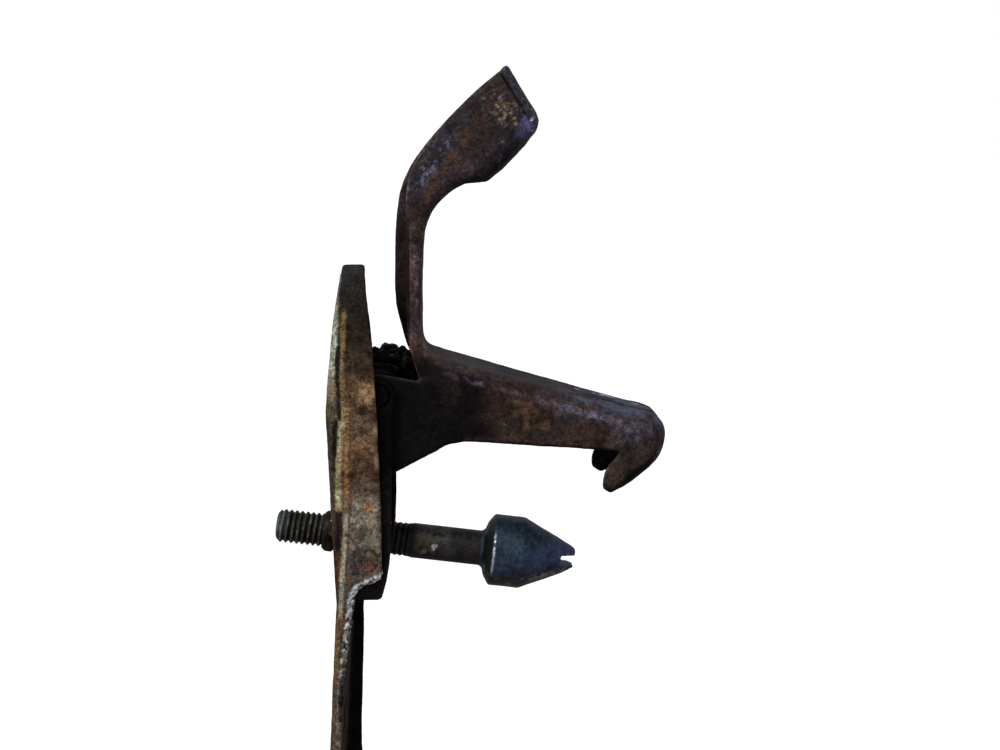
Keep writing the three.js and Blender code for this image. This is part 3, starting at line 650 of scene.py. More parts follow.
    # torn edge: bright ragged metal that fades to brown lower down
    lip = side_distance(coat.p, TEAR) + 0.5 * (clouds(coat.p, 1.8, 47) - 0.5)
    torn = ramp(1.5, 1.0, lip) * ramp(-19.8, -20.4, y)
    coat.blend((184, 192, 192), torn)
    coat.blend((96, 92, 80), torn * ramp(-14, -24, z) * 0.9)
    coat.blend((60, 50, 44), torn * ramp(-26, -36, z))
    pale_flecks = ramp(-18, -24, z) * ramp(-40, -30, z) * coat.cloud(2, 0.46, 0.58)
    coat.blend((132, 126, 104), torn * pale_flecks * 0.7)
    coat.patches((26, 25, 25), torn, 1.2, 0.5, 0.56, 0.92, 4)
    coat.patches((236, 242, 244), torn * ramp(-44, -20, z), 0.9, 0.5, 0.6, 0.85, 3)
    coat.wear = np.maximum(coat.wear, ramp(0.7, 1.2, coat.edge) * outer * ramp(60, 40, z) * 0.22)
    coat.metal[:] = 0.1
    coat.metal = np.maximum(coat.metal, dark * 0.5)
    coat.rust = coat.rust * (1 - 0.8 * dark) * ramp(66, 50, z)
    coat.rust = coat.rust * (1 - 0.7 * skin * ramp(5.4, 4.0, from_back))
    finish_piece(obj, coat, PLATE_METAL, "base_plate", "plate")


# ---- bracket, pins and rivets ----
def pivot_bracket():
    obj = remesh(copy_of("pivot_bracket", "worn_bracket"), 0.5, 3)
    push(obj.data, (clouds(drawn(obj.data), 5.0, 13) - 0.5) * 0.2)
    coat = Coat(obj, (20, 15, 18), 60)
    z = coat.p[:, 2]
    coat.patches((34, 26, 27), 1, 5, 0.5, 0.66, 0.6)
    coat.blend((44, 37, 40), ramp(0.5, 1.1, coat.edge) * ramp(20, 8, z) * 0.6)
    coat.blend((2, 2, 2), ramp(17, 25, z))
    coat.patches((9, 8, 8), ramp(18, 26, z), 3, 0.56, 0.68, 0.4)
    coat.grease = ramp(10, 24, z) * 0.2
    coat.rust = coat.rust * ramp(26, 16, z)
    coat.metal = 0.2 * ramp(28, 16, z)
    finish_piece(obj, coat, INNER_METAL, "pivot_bracket", "plate")


def small_piece(node, body, base, voxel, seed):
    """A pin, a rivet or the nut."""
    obj = remesh(copy_of(node, "worn_" + node), voxel, 2)
    push(obj.data, (clouds(drawn(obj.data), 2.2, seed) - 0.5) * 0.16)
    coat = Coat(obj, base, seed)
    coat.blend(tuple(v * 0.55 for v in base), coat.cloud(3, 0.42, 0.6) * 0.7)
    coat.blend(tuple(min(255, v * 1.5) for v in base), ramp(0.6, 1.2, coat.edge) * 0.4)
    coat.metal[:] = 0.2 if max(base) > 10 else 0
    finish_piece(obj, coat, INNER_METAL, node, body)


# ---- catch bolt ----
AXIS = (math.cos(BOLT_LEAN), 0.0, -math.sin(BOLT_LEAN))
SIDE = (math.sin(BOLT_LEAN), 0.0, math.cos(BOLT_LEAN))
BOLT_Z0 = -0.1                   # height of the axis where it crosses the plate's origin
THREAD_START, THREAD_TURNS, PITCH = -19.7, 24, 1.6
THREAD_END = THREAD_START + 0.7 + THREAD_TURNS * PITCH
CREST_R, SHANK_R, COLLAR_R = 4.9, 5.1, 5.85
HEAD_RIM_S = 43.9                # the widest ring at the back of the head
DRIVER_SECTION = [(-14, -1.75), (14, -1.75), (14, 1.35), (-14, 1.35)]     # y and height of the slot


def on_bolt(s, r, angle):
    """s along the bolt axis, r from it, angle from the upward side towards +Y."""
    u, v = r * math.cos(angle), r * math.sin(angle)
    return (AXIS[0] * s + SIDE[0] * u, v, BOLT_Z0 + AXIS[2] * s + SIDE[2] * u)


def beside_bolt(s, y, h):
    """s along the bolt axis, y across it, h above it."""
    return (AXIS[0] * s + SIDE[0] * h, y, BOLT_Z0 + AXIS[2] * s + SIDE[2] * h)


def along_bolt(p):
    """Distance along the bolt axis and height above it."""
    x, z = p[:, 0], p[:, 2] - BOLT_Z0
    return x * AXIS[0] + z * AXIS[2], x * SIDE[0] + z * SIDE[2]


def merge(obj, other):
    """Adds other's mesh to obj's, as a second shell."""
    with bpy.context.temp_override(active_object=obj, selected_editable_objects=[obj, other]):
        bpy.ops.object.join()


def profile_radius(profile, s):
    for (s0, r0), (s1, r1) in zip(profile, profile[1:]):
        if s <= s1:
            t = 0 if s1 == s0 else (s - s0) / (s1 - s0)
            return r0 + (r1 - r0) * max(0.0, min(1.0, t))
    return profile[-1][1]


def revolved(name, profile, steps, segments, thread=None):
    """A solid turned about the bolt axis; thread cuts a helix into it between two stations."""
    rings = []
    for k in range(steps + 1):
        s = profile[0][0] + (profile[-1][0] - profile[0][0]) * k / steps
        ring = []
        for i in range(segments):
            angle = 2 * math.pi * i / segments
            r = profile_radius(profile, s)
            if thread:
                start, end, pitch, depth, crest = thread
                turn = ((s - start) / pitch - i / segments) % 1.0
                tooth = abs(turn - 0.5) * 2
                tooth = max(0.0, min(1.0, (1 - tooth - 0.06) / 0.84))
                fade = max(0.0, min(1.0, (end - s) / 1.2))
                shallow = 1 - 0.52 * max(0.0, min(1.0, (s - 2) / 6))
                r = min(r, crest - depth * shallow * (1 - tooth) * fade) if s < end else r
            ring.append(on_bolt(s, max(r, 0.02), angle))
        rings.append(ring)
    return grid_mesh(name, rings)


def catch_bolt():
    shaft = [(THREAD_START, 2.9), (-19.55, 3.6), (-18.7, 4.7), (-18.2, CREST_R), (THREAD_END, CREST_R),
             (THREAD_END + 0.9, SHANK_R), (42.8, SHANK_R)]
    thread = (THREAD_START - 0.2, THREAD_END, PITCH, 0.72, CREST_R + 0.02)
    obj = new_object("worn_bolt", revolved("shaft", shaft, 620, 72, thread))

    head = [(39.6, 4.9), (40.3, 5.15), (41.1, 5.6), (41.5, 6.6), (41.9, 7.9), (43.5, 10.25),
            (HEAD_RIM_S, 10.46), (44.4, 10.46), (52.4, 10.42), (53.3, 10.05), (66.6, 3.85),
            (67.9, 3.0), (68.25, 2.3), (68.3, 0.1)]
    cone = new_object("head", revolved("head", head, 240, 80))
    ends = [[beside_bolt(s, y, h) for y, h in DRIVER_SECTION] for s in (63.8, 72.0)]
    slot = new_object("slot", grid_mesh("slot", ends))
    cut_away(cone, slot)
    remesh(cone, 0.26, 3)
    p = drawn(cone.data)
    push(cone.data, (clouds(p, 4.0, 41) - 0.5) * 0.22 + (clouds(p, 1.1, 43, 2) - 0.5) * 0.07)

    # the lower prong of the tip is chipped short
    p = drawn(cone.data)
    s, h = along_bolt(p)
    chip = ramp(64.2, 67.4, s) * ramp(-1.4, -1.8, h) * (0.55 + 0.9 * (clouds(p, 1.0, 47, 2) - 0.5))
    place(cone.data, p - np.outer(chip * 0.9, AXIS) + np.outer(chip * 0.25, SIDE))
    merge(obj, cone)
    coat = Coat(obj, (44, 42, 42), 90)
    s, h = along_bolt(coat.p)
    r = np.hypot(h, coat.p[:, 1])
    on_head = ramp(40.0, 41.0, s)
    on_thread = ramp(19.6, 18.6, s)
    coat.rust[:] = 0.3
    # thread: dark steel with green-grey crests behind, blue-black in front with painted bluish highlights on
    # the crests
    crest = ramp(4.35, CREST_R, r)
    coat.blend((24, 21, 20), on_thread * 0.95)
    coat.blend((56, 58, 50), on_thread * crest * ramp(4, -3, s) * 0.85)
    coat.patches((90, 98, 88), on_thread * crest * ramp(-3, -8, s), 2.4, 0.5, 0.64, 0.8)
    coat.blend((44, 34, 27), on_thread * coat.cloud(3.2, 0.5, 0.62) * ramp(-16, -13, s) * 0.7)
    # painted highlight: bluish crests on the front of the thread
    coat.patches((40, 43, 52), on_thread * ramp(6, 9, s) * crest, 1.6, 0.45, 0.62, 0.8, 4)
    end = ramp(-15.8, -18, s) * ramp(-3.6, 0.6, h) * coat.cloud(2.2, 0.3, 0.52)
    coat.blend((74, 80, 76), on_thread * end)
    # shank: mottled grey and olive, darker at both ends and underneath
    shank = (1 - on_head) * (1 - on_thread)
    middle = ramp(20.5, 23, s) * ramp(37, 30, s) * coat.cloud(2.6, 0.36, 0.56, 5)
    coat.blend((74, 74, 70), shank * middle * 0.85)
    coat.patches((78, 66, 46), shank, 2.2, 0.5, 0.64, 0.65)
    coat.patches((28, 26, 28), shank, 1.7, 0.54, 0.66, 0.8, 4)
    coat.blend((30, 28, 30), shank * np.maximum(ramp(-1.6, -3.6, h), ramp(21.2, 19.4, s)) * 0.85)
    coat.blend((34, 33, 35), shank * ramp(29, 34, s) * 0.8)
    coat.dab((190, 196, 186), on_bolt(26.6, SHANK_R, math.radians(-92)), 1.0, 0.95, 1.1, 0.7)
    coat.dab((190, 196, 186), on_bolt(27.5, SHANK_R, math.radians(-86)), 0.5, 0.9, 1.0, 0.5)
    coat.dab((132, 112, 74), on_bolt(23.8, SHANK_R, math.radians(-112)), 1.2, 0.9, 1.0, 0.8)
    # head: teal-dark above, blue towards the tip, brown below, a thin rubbed rim that also carries a painted
    # highlight
    coat.blend((48, 55, 66), on_head)
    coat.blend((52, 68, 86), on_head * ramp(-6.5, -3.0, h) * ramp(6.5, 2.5, h) * 0.85)
    coat.blend((47, 62, 72), on_head * ramp(3.0, 7.0, h) * 0.8)
    coat.patches((62, 68, 98), on_head * ramp(53, 59, s), 5, 0.36, 0.56, 0.75, 4)
    coat.patches((32, 35, 42), on_head, 2.4, 0.54, 0.68, 0.6)
    coat.blend((54, 43, 38), on_head * ramp(-5.5, -8.0, h) * 0.85)
    coat.blend((32, 34, 30), ramp(43.6, 43.2, s) * ramp(40.6, 41.4, s) * 0.92)
    uneven = clouds(coat.p, 3.0, 57)
    rim = near_line(s, HEAD_RIM_S, 0.1 + 0.3 * uneven) * ramp(9.7, 10.2, r)
    rim = rim * ramp(-6.5, -3.5, h) * ramp(8.5, 6.0, h)
    coat.wear = np.maximum(coat.wear, rim * 0.7 * ramp(0.42, 0.56, uneven))
    coat.wear = np.maximum(coat.wear, on_head * ramp(1.0, 1.5, coat.edge) * 0.12)
    # painted highlight over the rubbed rim
    coat.blend((176, 184, 188), rim * ramp(0.4, 0.56, uneven) * 0.85)
    scuffs = on_head * ramp(-4.6, -6.6, h) * coat.cloud(1.3, 0.54, 0.66)
    coat.blend((112, 98, 86), scuffs * 0.7)
    lower_edge = on_head * ramp(52.6, 53.2, s) * ramp(-0.25, -0.55, coat.n[:, 2])
    lower_edge = lower_edge * ramp(1.6, 0.4, np.abs(h + 0.62 * r))
    coat.patches((150, 138, 124), lower_edge, 1.1, 0.5, 0.64, 0.7, 4)
    coat.metal = 0.35 + 0.4 * on_head
    finish_piece(obj, coat, BOLT_METAL, "catch_bolt", "bolt")


def threaded_bush():
    profile = [(-6.1, 5.0), (-5.9, 5.35), (-4.9, 5.72), (-3.9, 5.82), (-3.1, COLLAR_R), (4.9, COLLAR_R)]
    obj = new_object("worn_bush", revolved("bush", profile, 90, 64))
    bore = new_object("bore", revolved("bore", [(-8, 5.02), (8, 5.02)], 4, 64))
    cut_away(obj, bore)
    remesh(obj, 0.2, 1)
    p = drawn(obj.data)
    outside = ramp(5.3, 5.7, np.hypot(along_bolt(p)[1], p[:, 1]))
    neck = ramp(-3.2, -2.6, along_bolt(p)[0])
    push(obj.data, (0.1 + (clouds(p, 2.8, 51) - 0.5) * 1.1 - 0.5 * neck) * outside)
    coat = Coat(obj, (36, 30, 25), 120)
    coat.patches((26, 21, 19), 1, 2.2, 0.46, 0.6, 0.85)
    coat.patches((66, 52, 38), 1, 2.0, 0.54, 0.68, 0.6)
    coat.dab((96, 82, 54), on_bolt(-3.6, 5.8, math.radians(-84)), 0.9, 0.7, 1.1, 0.8)
    for along, turn in ((-3.9, -46), (-3.4, -53), (-3.6, -40)):
        coat.dab((176, 172, 170), on_bolt(along, 5.8, math.radians(turn)), 0.32, 0.9, 0.8, 0.4)
    coat.blend((12, 10, 10), neck * 0.95)
    coat.metal[:] = 0.4
    finish_piece(obj, coat, INNER_METAL, "threaded_bush", "plate")


# ---- spring with old grease ----
# where the ends of the wire lie, x and z: under the bracket's edge and under the arm
PLATE_END, CATCH_END = (3.0, 30.6), (33.0, 46.8)


def spring_route():
    """Points along the wire, mm: one leg, the coil and the other leg."""
    cx, cz = PIVOT
    radius, pitch, first, turns = 8.6, 2.7, -3.5, 5.0
    wind, last = turns - 0.75, first + turns * pitch
    route = []
    for i in range(12):
        t = i / 12
        x, z = PLATE_END
        route.append((x + (cx - radius - x) * t, first, z + (cz - z) * t))
    steps = 200
    for i in range(steps + 1):
        t = i / steps
        a = math.pi - t * wind * 2 * math.pi
        route.append((cx + radius * math.cos(a), first + (last - first) * t, cz + radius * math.sin(a)))
    end = route[-1]
    for i in range(1, 15):
        t = i / 14
        x, z = CATCH_END
        route.append((end[0] + (x - end[0]) * t, last, end[2] + (z - end[2]) * t))
    return [Vector(q) for q in route]


def tube(name, route, radius, segments=14):
    rings = []
    side = Vector((0, 1, 0))
    for k, q in enumerate(route):
        ahead = route[min(k + 1, len(route) - 1)] - route[max(k - 1, 0)]
        ahead.normalize()
        side = (side - ahead * side.dot(ahead)).normalized()
        up = ahead.cross(side)
        turn = [2 * math.pi * i / segments for i in range(segments)]
        rings.append([tuple(q + (side * math.cos(a) + up * math.sin(a)) * radius) for a in turn])
    return grid_mesh(name, rings)


def torsion_spring():
    route = spring_route()
    obj = new_object("greasy_spring", tube("spring", route, 1.2))
    rng = np.random.default_rng(7)
    # clots of old grease between the turns
    clots = []
    for _ in range(40):
        k = int(rng.integers(14, 205))
        q = route[k]
        size = float(rng.uniform(0.9, 1.9))
        jitter = rng.normal(0, 0.55, 3)
        clots.append((q.x + jitter[0], q.y + jitter[1] * 1.6, q.z + jitter[2], size))
    # a thick cake over the top of the coil, as far as the root of the lever
    cx, cz = PIVOT
    for _ in range(64):
        angle = float(rng.uniform(0.42, 1.75))
        reach = float(rng.uniform(8.4, 10.4 + 1.5 * max(0.0, 1 - abs(angle - 0.8))))
        size = float(rng.uniform(0.9, 1.7))
        clots.append((min(cx + reach * math.cos(angle), 20.2 - 0.4 * size), float(rng.uniform(-4.4, 9.4)),
                      cz + reach * math.sin(angle), size))
    for x, y, z, size in clots:
        y = min(max(y, -5.2), 10.6)
        bpy.ops.mesh.primitive_ico_sphere_add(subdivisions=2, radius=size / 1000, location=at(x, y, z))
        merge(obj, bpy.context.active_object)
    remesh(obj, 0.33, 4)
    p = drawn(obj.data)
    push(obj.data, (clouds(p, 1.5, 71) - 0.5) * 1.3 + (clouds(p, 4.0, 73, 2) - 0.5) * 0.8)
    coat = Coat(obj, (9, 9, 9), 140)
    coat.patches((30, 29, 25), 1, 2.0, 0.56, 0.68, 0.7)
    coat.dab((52, 50, 44), (18.6, -4, 51.0), 1.8, 0.8, 0.9, 1.2)
    coat.grease[:] = 0.6
    coat.rust[:] = 0.1
    coat.metal[:] = 0.35
    coat.save()
    obj.data.materials.append(GREASE)
    obj.data.shade_smooth()
    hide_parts("torsion_spring")
    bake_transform(obj)


# ---- safety catch ----
def flap_depth(p):
    """How far a point of the finger pad lies beyond the fold along its lower border."""
    return (p[:, 0] - 45.7) * 0.752 - (p[:, 2] - 113.9) * 0.659


def end_depth(p):
    """How far a point of the finger pad lies beyond its end border."""
    return (p[:, 0] - 46.0) * 0.851 + (p[:, 2] - 133.2) * 0.524


def arm_top(x):
    """Height of the arm's upper face at x, mm."""
    return 53.4 - 0.268 * (x - 27)


GROOVE_Y = -1.5                  # middle of the groove along the arm's nose
# pale scuffs on the upper face of the arm: x, y and radius
SCUFFS = [(69, 5, 1.6), (76, 8, 2.0), (79, 9, 2.2), (82, 8.5, 1.5), (74, 6, 1.3), (86, 6, 1.5)]


def safety_catch():
    obj = remesh(copy_of("safety_catch", "worn_catch"), 0.45, 5)
    mesh = obj.data
    p = drawn(mesh)
    x, y, _ = p.T
    up = normals(mesh)[:, 2]
    # a shallow groove pressed along the web towards the nose
    web = ramp(0.5, 0.9, up) * ramp(62, 72, x)
    groove = near_line(y, GROOVE_Y, 1.9) * web * ramp(93, 89, x)
    fine = (clouds(p, 1.4, 19, 3) - 0.5) * 0.14
    push(mesh, 0.07 - 0.55 * groove + (clouds(p, 8.0, 17) - 0.5) * 0.36 + fine)
    # the near side of the finger pad folds away along its lower border and has a raised end rim
    p = drawn(mesh)
    wall = ramp(-7.5, -8.6, p[:, 1]) * ramp(96, 102, p[:, 2])
    fold = np.maximum(0, flap_depth(p)) * wall
    seam = ramp(0.75, 0.15, np.abs(end_depth(p) + 0.85)) * wall * ramp(113, 117, p[:, 2])
    p[:, 1] += 0.055 * fold ** 2 * ramp(-13.5, -9.5, p[:, 1]) + 0.5 * seam * ramp(-10, -11.5, p[:, 1])
    place(mesh, p)

    coat = Coat(obj, (52, 42, 38), 160)
    x, y, z = coat.p.T
    n = coat.n
    near = ramp(-0.5, -0.85, n[:, 1])
    up = ramp(0.5, 0.9, n[:, 2])
    arm = ramp(62, 56, z) * ramp(26, 32, x)
    lever = ramp(54, 60, z) * ramp(96, 90, z)
    pad = ramp(90, 97, z)

    # patchy all over, on the far side too
    coat.patches((36, 29, 27), 1, 8, 0.46, 0.62, 0.7)
    coat.patches((70, 56, 48), 1, 5, 0.54, 0.68, 0.6)
    coat.patches((56, 54, 60), 1, 6, 0.56, 0.68, 0.5)

    # drier rust on the far side, on the back and inside the channels
    away = np.maximum(ramp(0.3, 0.7, n[:, 1]), ramp(0.3, 0.7, -n[:, 0]) * ramp(16, 20, x))
    coat.blend((84, 64, 52), away * 0.9)
    coat.patches((116, 82, 54), away, 9, 0.48, 0.62, 0.75)
    coat.patches((52, 40, 36), away, 4, 0.5, 0.62, 0.85)
    coat.patches((110, 108, 112), away, 6, 0.58, 0.68, 0.6)

    # near side of the arm: brown and dark, paler along the middle
    coat.blend((49, 39, 33), arm * near * 0.95)
    coat.patches((34, 27, 25), arm * near, 6, 0.46, 0.62, 0.85)
    coat.patches((44, 44, 45), arm * near * ramp(50, 68, x), 5, 0.46, 0.62, 0.7)
    coat.patches((88, 66, 48), arm * near * ramp(40, 50, x), 3, 0.6, 0.7, 0.6)
    root = ramp(50, 34, x + 8 * (clouds(coat.p, 9, 33) - 0.5)) * ramp(58, 50, z)
    coat.blend((9, 8, 8), root * near * 0.97)
    coat.dab((34, 25, 22), (31.3, -17, 44.5), 4.2, 0.6, 0.9, 4)
    coat.stroke((62, 44, 40), (36, -17, 30.2), (70, -17, 28.2), 1.1, 0.5, 0.9, 2)
    coat.dab((88, 64, 46), (52.5, -17, 38.0), 2.6, 0.7, 1.1, 1.6)

    # upper face of the arm: brown-purple, blue-grey scuffs towards the nose
    top = arm * up
    coat.blend((38, 32, 32), top * 0.95)
    coat.patches((58, 46, 40), top, 3, 0.5, 0.64, 0.8)
    coat.patches((28, 25, 29), top, 5, 0.5, 0.64, 0.8)
    coat.patches((62, 68, 80), top * ramp(58, 70, x), 3.6, 0.42, 0.6, 0.85)
    # painted shade: a dark line along the pressed groove
    groove = near_line(y, GROOVE_Y, 1.7) * ramp(62, 72, x) * ramp(94, 90, x)
    coat.blend((26, 21, 31), groove * up * 0.9)
    for cx, cy, size in SCUFFS:
        coat.dab((142, 156, 166), (cx, cy, arm_top(cx)), size, 0.85, 1.2, 1.2)

    # rolled bend along the arm: a thin lilac sheen
    roll = arm * ramp(0.1, 0.3, n[:, 2]) * ramp(0.7, 0.45, n[:, 2]) * ramp(-10, -12, y)
    coat.patches((62, 62, 70), roll * ramp(50, 66, x), 4, 0.34, 0.6, 0.8)
    line = arm * near_line(n[:, 2], 0.42, 0.12) * ramp(-8, -10, y)
    coat.patches((104, 94, 108), line * ramp(60, 72, x), 2.4, 0.4, 0.6, 0.8, 4)
    coat.patches((86, 70, 80), line * ramp(28, 34, x) * ramp(64, 56, x), 2.4, 0.44, 0.6, 0.7, 4)

    # nose and hook; painted shade makes everything that faces down, and the inside of the channel, black
    nose = ramp(74, 82, x)
    coat.blend((52, 44, 40), nose * near * 0.8)
    coat.patches((72, 70, 82), nose * ramp(27, 31, z) * (1 - up), 3, 0.42, 0.6, 0.75)
    coat.patches((32, 26, 24), nose * near, 3, 0.5, 0.64, 0.7)
    coat.patches((58, 48, 38), nose * ramp(26, 20, z) * near, 3, 0.42, 0.6, 0.7)
    inner = ramp(0.1, 0.5, -n[:, 2]) * arm
    channel = ramp(-14.4, -13.6, y) * ramp(14.4, 13.6, y) * (1 - ramp(0.3, 0.6, n[:, 2]))
    inner = np.maximum(inner, arm * channel)
    coat.blend((9, 8, 8), inner * ramp(92, 88, x) * 0.95)

    # painted shade: the inner face of the far hook and of the near wall at the root are black
    far_hook = ramp(8, 11, y) * ramp(66, 69, x) * ramp(29, 27, z) * ramp(0.4, 0.0, n[:, 1])
    coat.blend((1, 1, 1), np.maximum(far_hook, ramp(20, 24, x) * ramp(60, 56, z) * ramp(0.5, 0.9, n[:, 1])
                                     * ramp(0, -6, y)) * 0.97)

    # lever: dark rolled edge on the left with a painted shadow line in its crease, mottled brown-grey web
    # with a painted highlight streak
    coat.blend((66, 53, 51), lever * (1 - away) * 0.95)
    coat.blend((94, 76, 74), lever * ramp(62, 68, z) * ramp(88, 80, z) * near * 0.5)
    # painted highlight: a pale pink streak down the web, with brown-red lower on the same line
    streak = lever * near * near_line(x, 22.6, 0.8)
    bright = ramp(66, 69, z) * ramp(77, 73, z) * coat.cloud(3, 0.3, 0.5)
    coat.blend((168, 146, 140), streak * bright * 0.85)
    coat.blend((96, 62, 70), streak * ramp(56, 60, z) * ramp(68, 64, z) * 0.6)
    coat.blend((58, 43, 48), lever * ramp(76, 66, z) * (1 - away) * 0.8)
    coat.patches((32, 25, 26), lever * (1 - away), 3, 0.48, 0.62, 0.75)
    coat.patches((112, 98, 92), lever * near * ramp(84, 78, z), 2.0, 0.57, 0.68, 0.6)
    coat.blend((28, 21, 18), lever * ramp(20.3, 19.5, x) * ramp(0.8, 0.4, n[:, 1]) * 0.95)
    # painted shade: a dark line along the crease between the rolled edge and the web
    coat.blend((12, 9, 9), lever * near * ramp(0.6, 0.2, np.abs(x - 19.7)) * 0.9)
    # painted highlights: two pale marks along the streak
    coat.stroke((126, 112, 104), (23.0, -10.8, 85), (22.6, -11, 80), 0.8, 0.55, 0.9, 1.5)
    coat.stroke((122, 110, 112), (21.9, -11.4, 74), (21.8, -11.4, 69), 0.7, 0.5, 0.9, 1.5)

    # finger pad: brown-grey with a tan band, painted bluish highlights in specks, painted shade on the fold
    # and the seam, and painted highlights at the corner
    coat.blend((48, 40, 40), pad * near * 0.97)
    coat.patches((36, 30, 31), pad * near, 4, 0.48, 0.64, 0.6)
    coat.patches((62, 52, 49), pad * near, 2.6, 0.54, 0.68, 0.6)
    band = ramp(3.4, 1.0, distance_to(coat.p, (28, -12, 105.5), (45, -12, 123)))
    coat.patches((74, 56, 44), band * near, 2.4, 0.44, 0.62, 0.65)
    band = ramp(2.6, 0.8, distance_to(coat.p, (24.5, -12, 96), (29, -12, 106)))
    coat.patches((66, 50, 42), band * near, 3, 0.42, 0.6, 0.65)
    flaky = ramp(5.2, 1.5, distance_to(coat.p, (43.8, -12, 123.4), (50.2, -12, 119.4)))
    coat.patches((84, 72, 56), flaky * near, 1.5, 0.5, 0.62, 0.75)
    coat.patches((138, 132, 118), flaky * near, 0.8, 0.58, 0.68, 0.7, 4)
    coat.dab((142, 134, 120), (46.6, -12, 113.1), 0.8, 0.85, 0.9, 0.7)
    strip = ramp(3.4, 1.6, distance_to(coat.p, (20.5, -12, 99), (38, -12, 126)))
    coat.blend((50, 46, 52), strip * near * 0.6)
    # painted highlights: bluish specks on the left strip
    specks = strip * near * ramp(117, 112, z) * ramp(97, 102, z)
    coat.patches((92, 96, 112), specks, 1.0, 0.6, 0.7, 0.7, 4)
    # painted shade: the flap that folds away along the lower border is painted dark
    fold = ramp(0.0, 0.9, flap_depth(coat.p) + 1.2 * (clouds(coat.p, 4, 61) - 0.5))
    fold = fold * pad * ramp(0.4, 0.0, n[:, 1])
    coat.blend((30, 27, 31), fold * 0.92)
    coat.patches((20, 17, 20), fold, 3, 0.48, 0.62, 0.7)
    coat.patches((52, 49, 58), fold, 1.4, 0.56, 0.68, 0.5, 4)
    # painted highlight: a bluish sheen where the fold rounds the corner
    blue = ramp(5.5, 1.5, distance_to(coat.p, (55.0, -12, 120.0), (54.0, -12, 116.0)))
    coat.blend((88, 88, 122), fold * blue * 0.85)
    across = end_depth(coat.p)
    rim = ramp(-0.7, -0.3, across) * pad * ramp(0.5, 0.1, n[:, 1])
    coat.blend((60, 60, 68), rim * 0.85)
    coat.patches((46, 44, 52), rim, 1.6, 0.48, 0.62, 0.8, 4)
    # painted shade: a dark line in the seam gap beside the end rim
    seam = ramp(0.55, 0.15, np.abs(across + 0.9)) * pad * near * ramp(117, 120, z)
    coat.blend((13, 10, 10), seam * 0.9)

    # the front of the lever, the nose and the end of the pad
    front = ramp(0.55, 0.8, n[:, 0])
    coat.blend((72, 60, 54), front * 0.8)
    coat.patches((104, 78, 56), front, 7, 0.5, 0.62, 0.7)
    coat.patches((40, 33, 33), front, 3.5, 0.48, 0.62, 0.75)

    coat.wear = ramp(0.9, 1.5, coat.edge) * 0.16 * (1 - lever * ramp(21.5, 20.5, x))
    # painted highlight: a pale bluish spot at the corner of the pad
    coat.dab((170, 170, 190), (54.4, -12, 119.3), 0.6, 1.0, 0.5)
    coat.metal = 0.1 + 0.1 * root * near - 0.1 * top
    coat.rust[:] = 0.4
    coat.rust = coat.rust * (1 - 0.95 * root) * (1 - 0.75 * pad)
    coat.grease = root * 0.3
    finish_piece(obj, coat, CATCH_METAL, "safety_catch", "catch")


def side_rivet():
    """Peened flush with the flange, so its border hardly shows."""
    obj = remesh(copy_of("side_rivet", "worn_side_rivet"), 0.22, 3)
    p = drawn(obj.data)
    middle = (p.min(axis=0) + p.max(axis=0)) / 2
    across = np.hypot(p[:, 0] - middle[0], p[:, 2] - middle[2])
    grow = 1 + 0.5 / max(across.max(), 0.1)
    p[:, 0] = middle[0] + (p[:, 0] - middle[0]) * grow
    p[:, 2] = middle[2] + (p[:, 2] - middle[2]) * grow
    front = ramp(middle[1], middle[1] - 1, p[:, 1])
    p[:, 1] += front * (0.12 + 0.25 * (clouds(p, 1.6, 83, 3) - 0.5) + 0.3 * ramp(2.2, 3.6, across))
    place(obj.data, p)
    coat = Coat(obj, (78, 64, 52), 83)
    coat.bands(FLANGE_BANDS, np.ones(len(p)), 1.5, 3.0)
    coat.patches((54, 50, 46), 1, 2.0, 0.48, 0.62, 0.8)
    coat.dab((44, 42, 42), (6.2, -23, -2.0), 2.0, 0.8, 1.0, 1.2)
    coat.dab((116, 70, 50), (8.4, -23, -4.3), 1.6, 0.8, 1.0, 1.0)
    coat.metal[:] = 0.1
    finish_piece(obj, coat, PLATE_METAL, "side_rivet", "plate")


# ---- build ----
base_plate()
pivot_bracket()
safety_catch()
catch_bolt()
threaded_bush()
torsion_spring()
for rivet in ("base_rivet_near", "base_rivet_far"):
    small_piece(rivet, "plate", (62, 50, 42), 0.25, 81)
side_rivet()
small_piece("lock_nut", "nut", (44, 38, 34), 0.28, 85)
small_piece("pivot_pin", "plate", (2, 2, 2), 0.28, 87)
small_piece("stop_pin", "plate", (2, 2, 2), 0.3, 89)
small_piece("spring_sleeve", "plate", (12, 10, 10), 0.35, 91)

# ---- floor, light, camera ----
scene = bpy.context.scene
scene.view_settings.view_transform = "Standard"

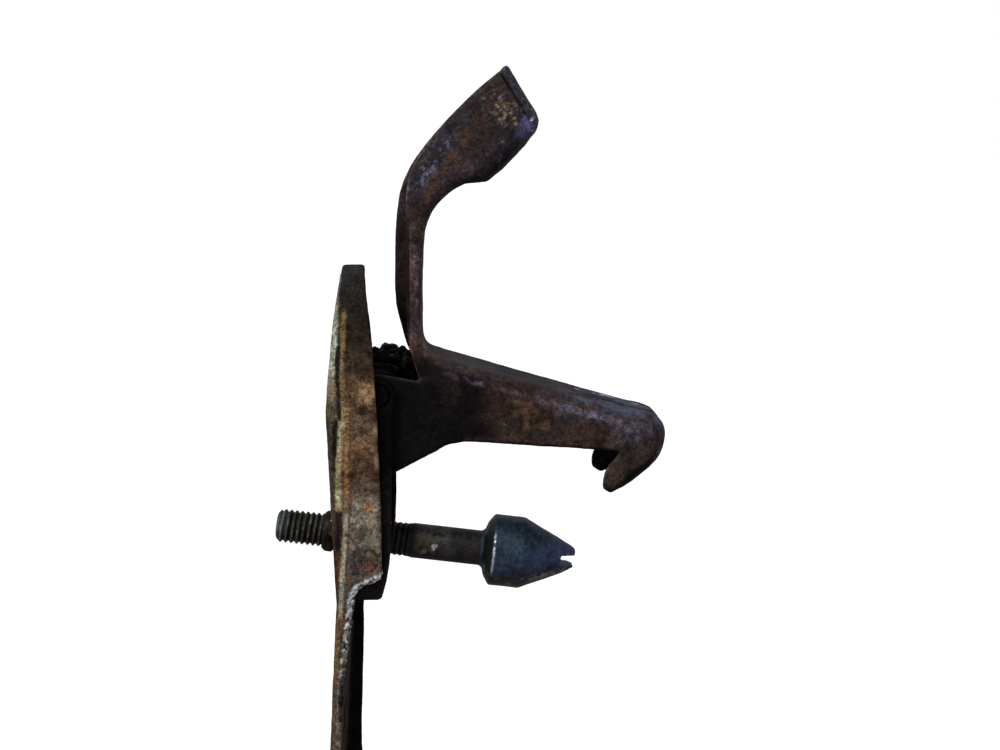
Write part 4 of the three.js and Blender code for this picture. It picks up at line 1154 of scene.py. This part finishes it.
floor_mesh = bpy.data.meshes.new("floor")
reach = 40
floor_mesh.from_pydata([(-reach, -reach, 0), (reach, -reach, 0), (reach, reach, 0), (-reach, reach, 0)],
                       [], [(0, 1, 2, 3)])
floor = new_object("floor", floor_mesh)
floor.location.z = cad_low.z - 0.14
floor.visible_diffuse = False
floor.visible_glossy = False
paper = bpy.data.materials.new("floor_paper")
g = Nodes(paper)
cover = g.add("ShaderNodeBsdfPrincipled")
cover.inputs["Roughness"].default_value = 0.95
cover.inputs["Specular IOR Level"].default_value = 0.0
coords = g.add("ShaderNodeTexCoord").outputs["Object"]
g.link(g.mix(g.noise(coords, 3.0), rgba((0.985, 0.985, 0.985)), rgba((1.0, 1.0, 1.0))),
       cover.inputs["Base Color"])
g.link(cover.outputs[0], g.add("ShaderNodeOutputMaterial").inputs["Surface"])
floor_mesh.materials.append(paper)

world = bpy.data.worlds.new("studio")
scene.world = world
g = Nodes(world)
direction = g.add("ShaderNodeSeparateXYZ")
g.link(g.add("ShaderNodeTexCoord").outputs["Generated"], direction.inputs[0])
lift = g.remap(direction.outputs[2], -1, 1, 0, 1)
sky = g.mix(lift, rgba((0.24, 0.21, 0.19)), rgba((0.60, 0.64, 0.72)))
dome = g.add("ShaderNodeBackground")
g.link(sky, dome.inputs["Color"])
dome.inputs["Strength"].default_value = 1.0
plain = g.add("ShaderNodeBackground")
plain.inputs["Color"].default_value = (1, 1, 1, 1)
either = g.add("ShaderNodeMixShader")
g.link(g.add("ShaderNodeLightPath").outputs["Is Camera Ray"], either.inputs[0])
g.link(dome.outputs[0], either.inputs[1])
g.link(plain.outputs[0], either.inputs[2])
g.link(either.outputs[0], g.add("ShaderNodeOutputWorld").inputs["Surface"])


def lamp(name, toward, strength, spread):
    """A large soft light that shines from the direction toward."""
    data = bpy.data.lights.new(name, "SUN")
    data.energy, data.angle = strength, math.radians(spread)
    obj = new_object(name, data)
    obj.rotation_euler = (-Vector(toward)).to_track_quat("-Z", "Y").to_euler()


lamp("key", (-0.55, -0.55, 0.78), 2.35, 45)
lamp("side", (-0.9, -0.5, 0.1), 0.5, 60)

camera_data = bpy.data.cameras.new("camera")
camera_data.lens, camera_data.sensor_width = 57.6, 36
camera = new_object("camera", camera_data)
camera.location = at(33.737, -459.275, 110.894)
camera.rotation_euler = (math.radians(82), 0, math.radians(-1.5))
camera_data.clip_start, camera_data.clip_end = 0.01, 100
scene.camera = camera
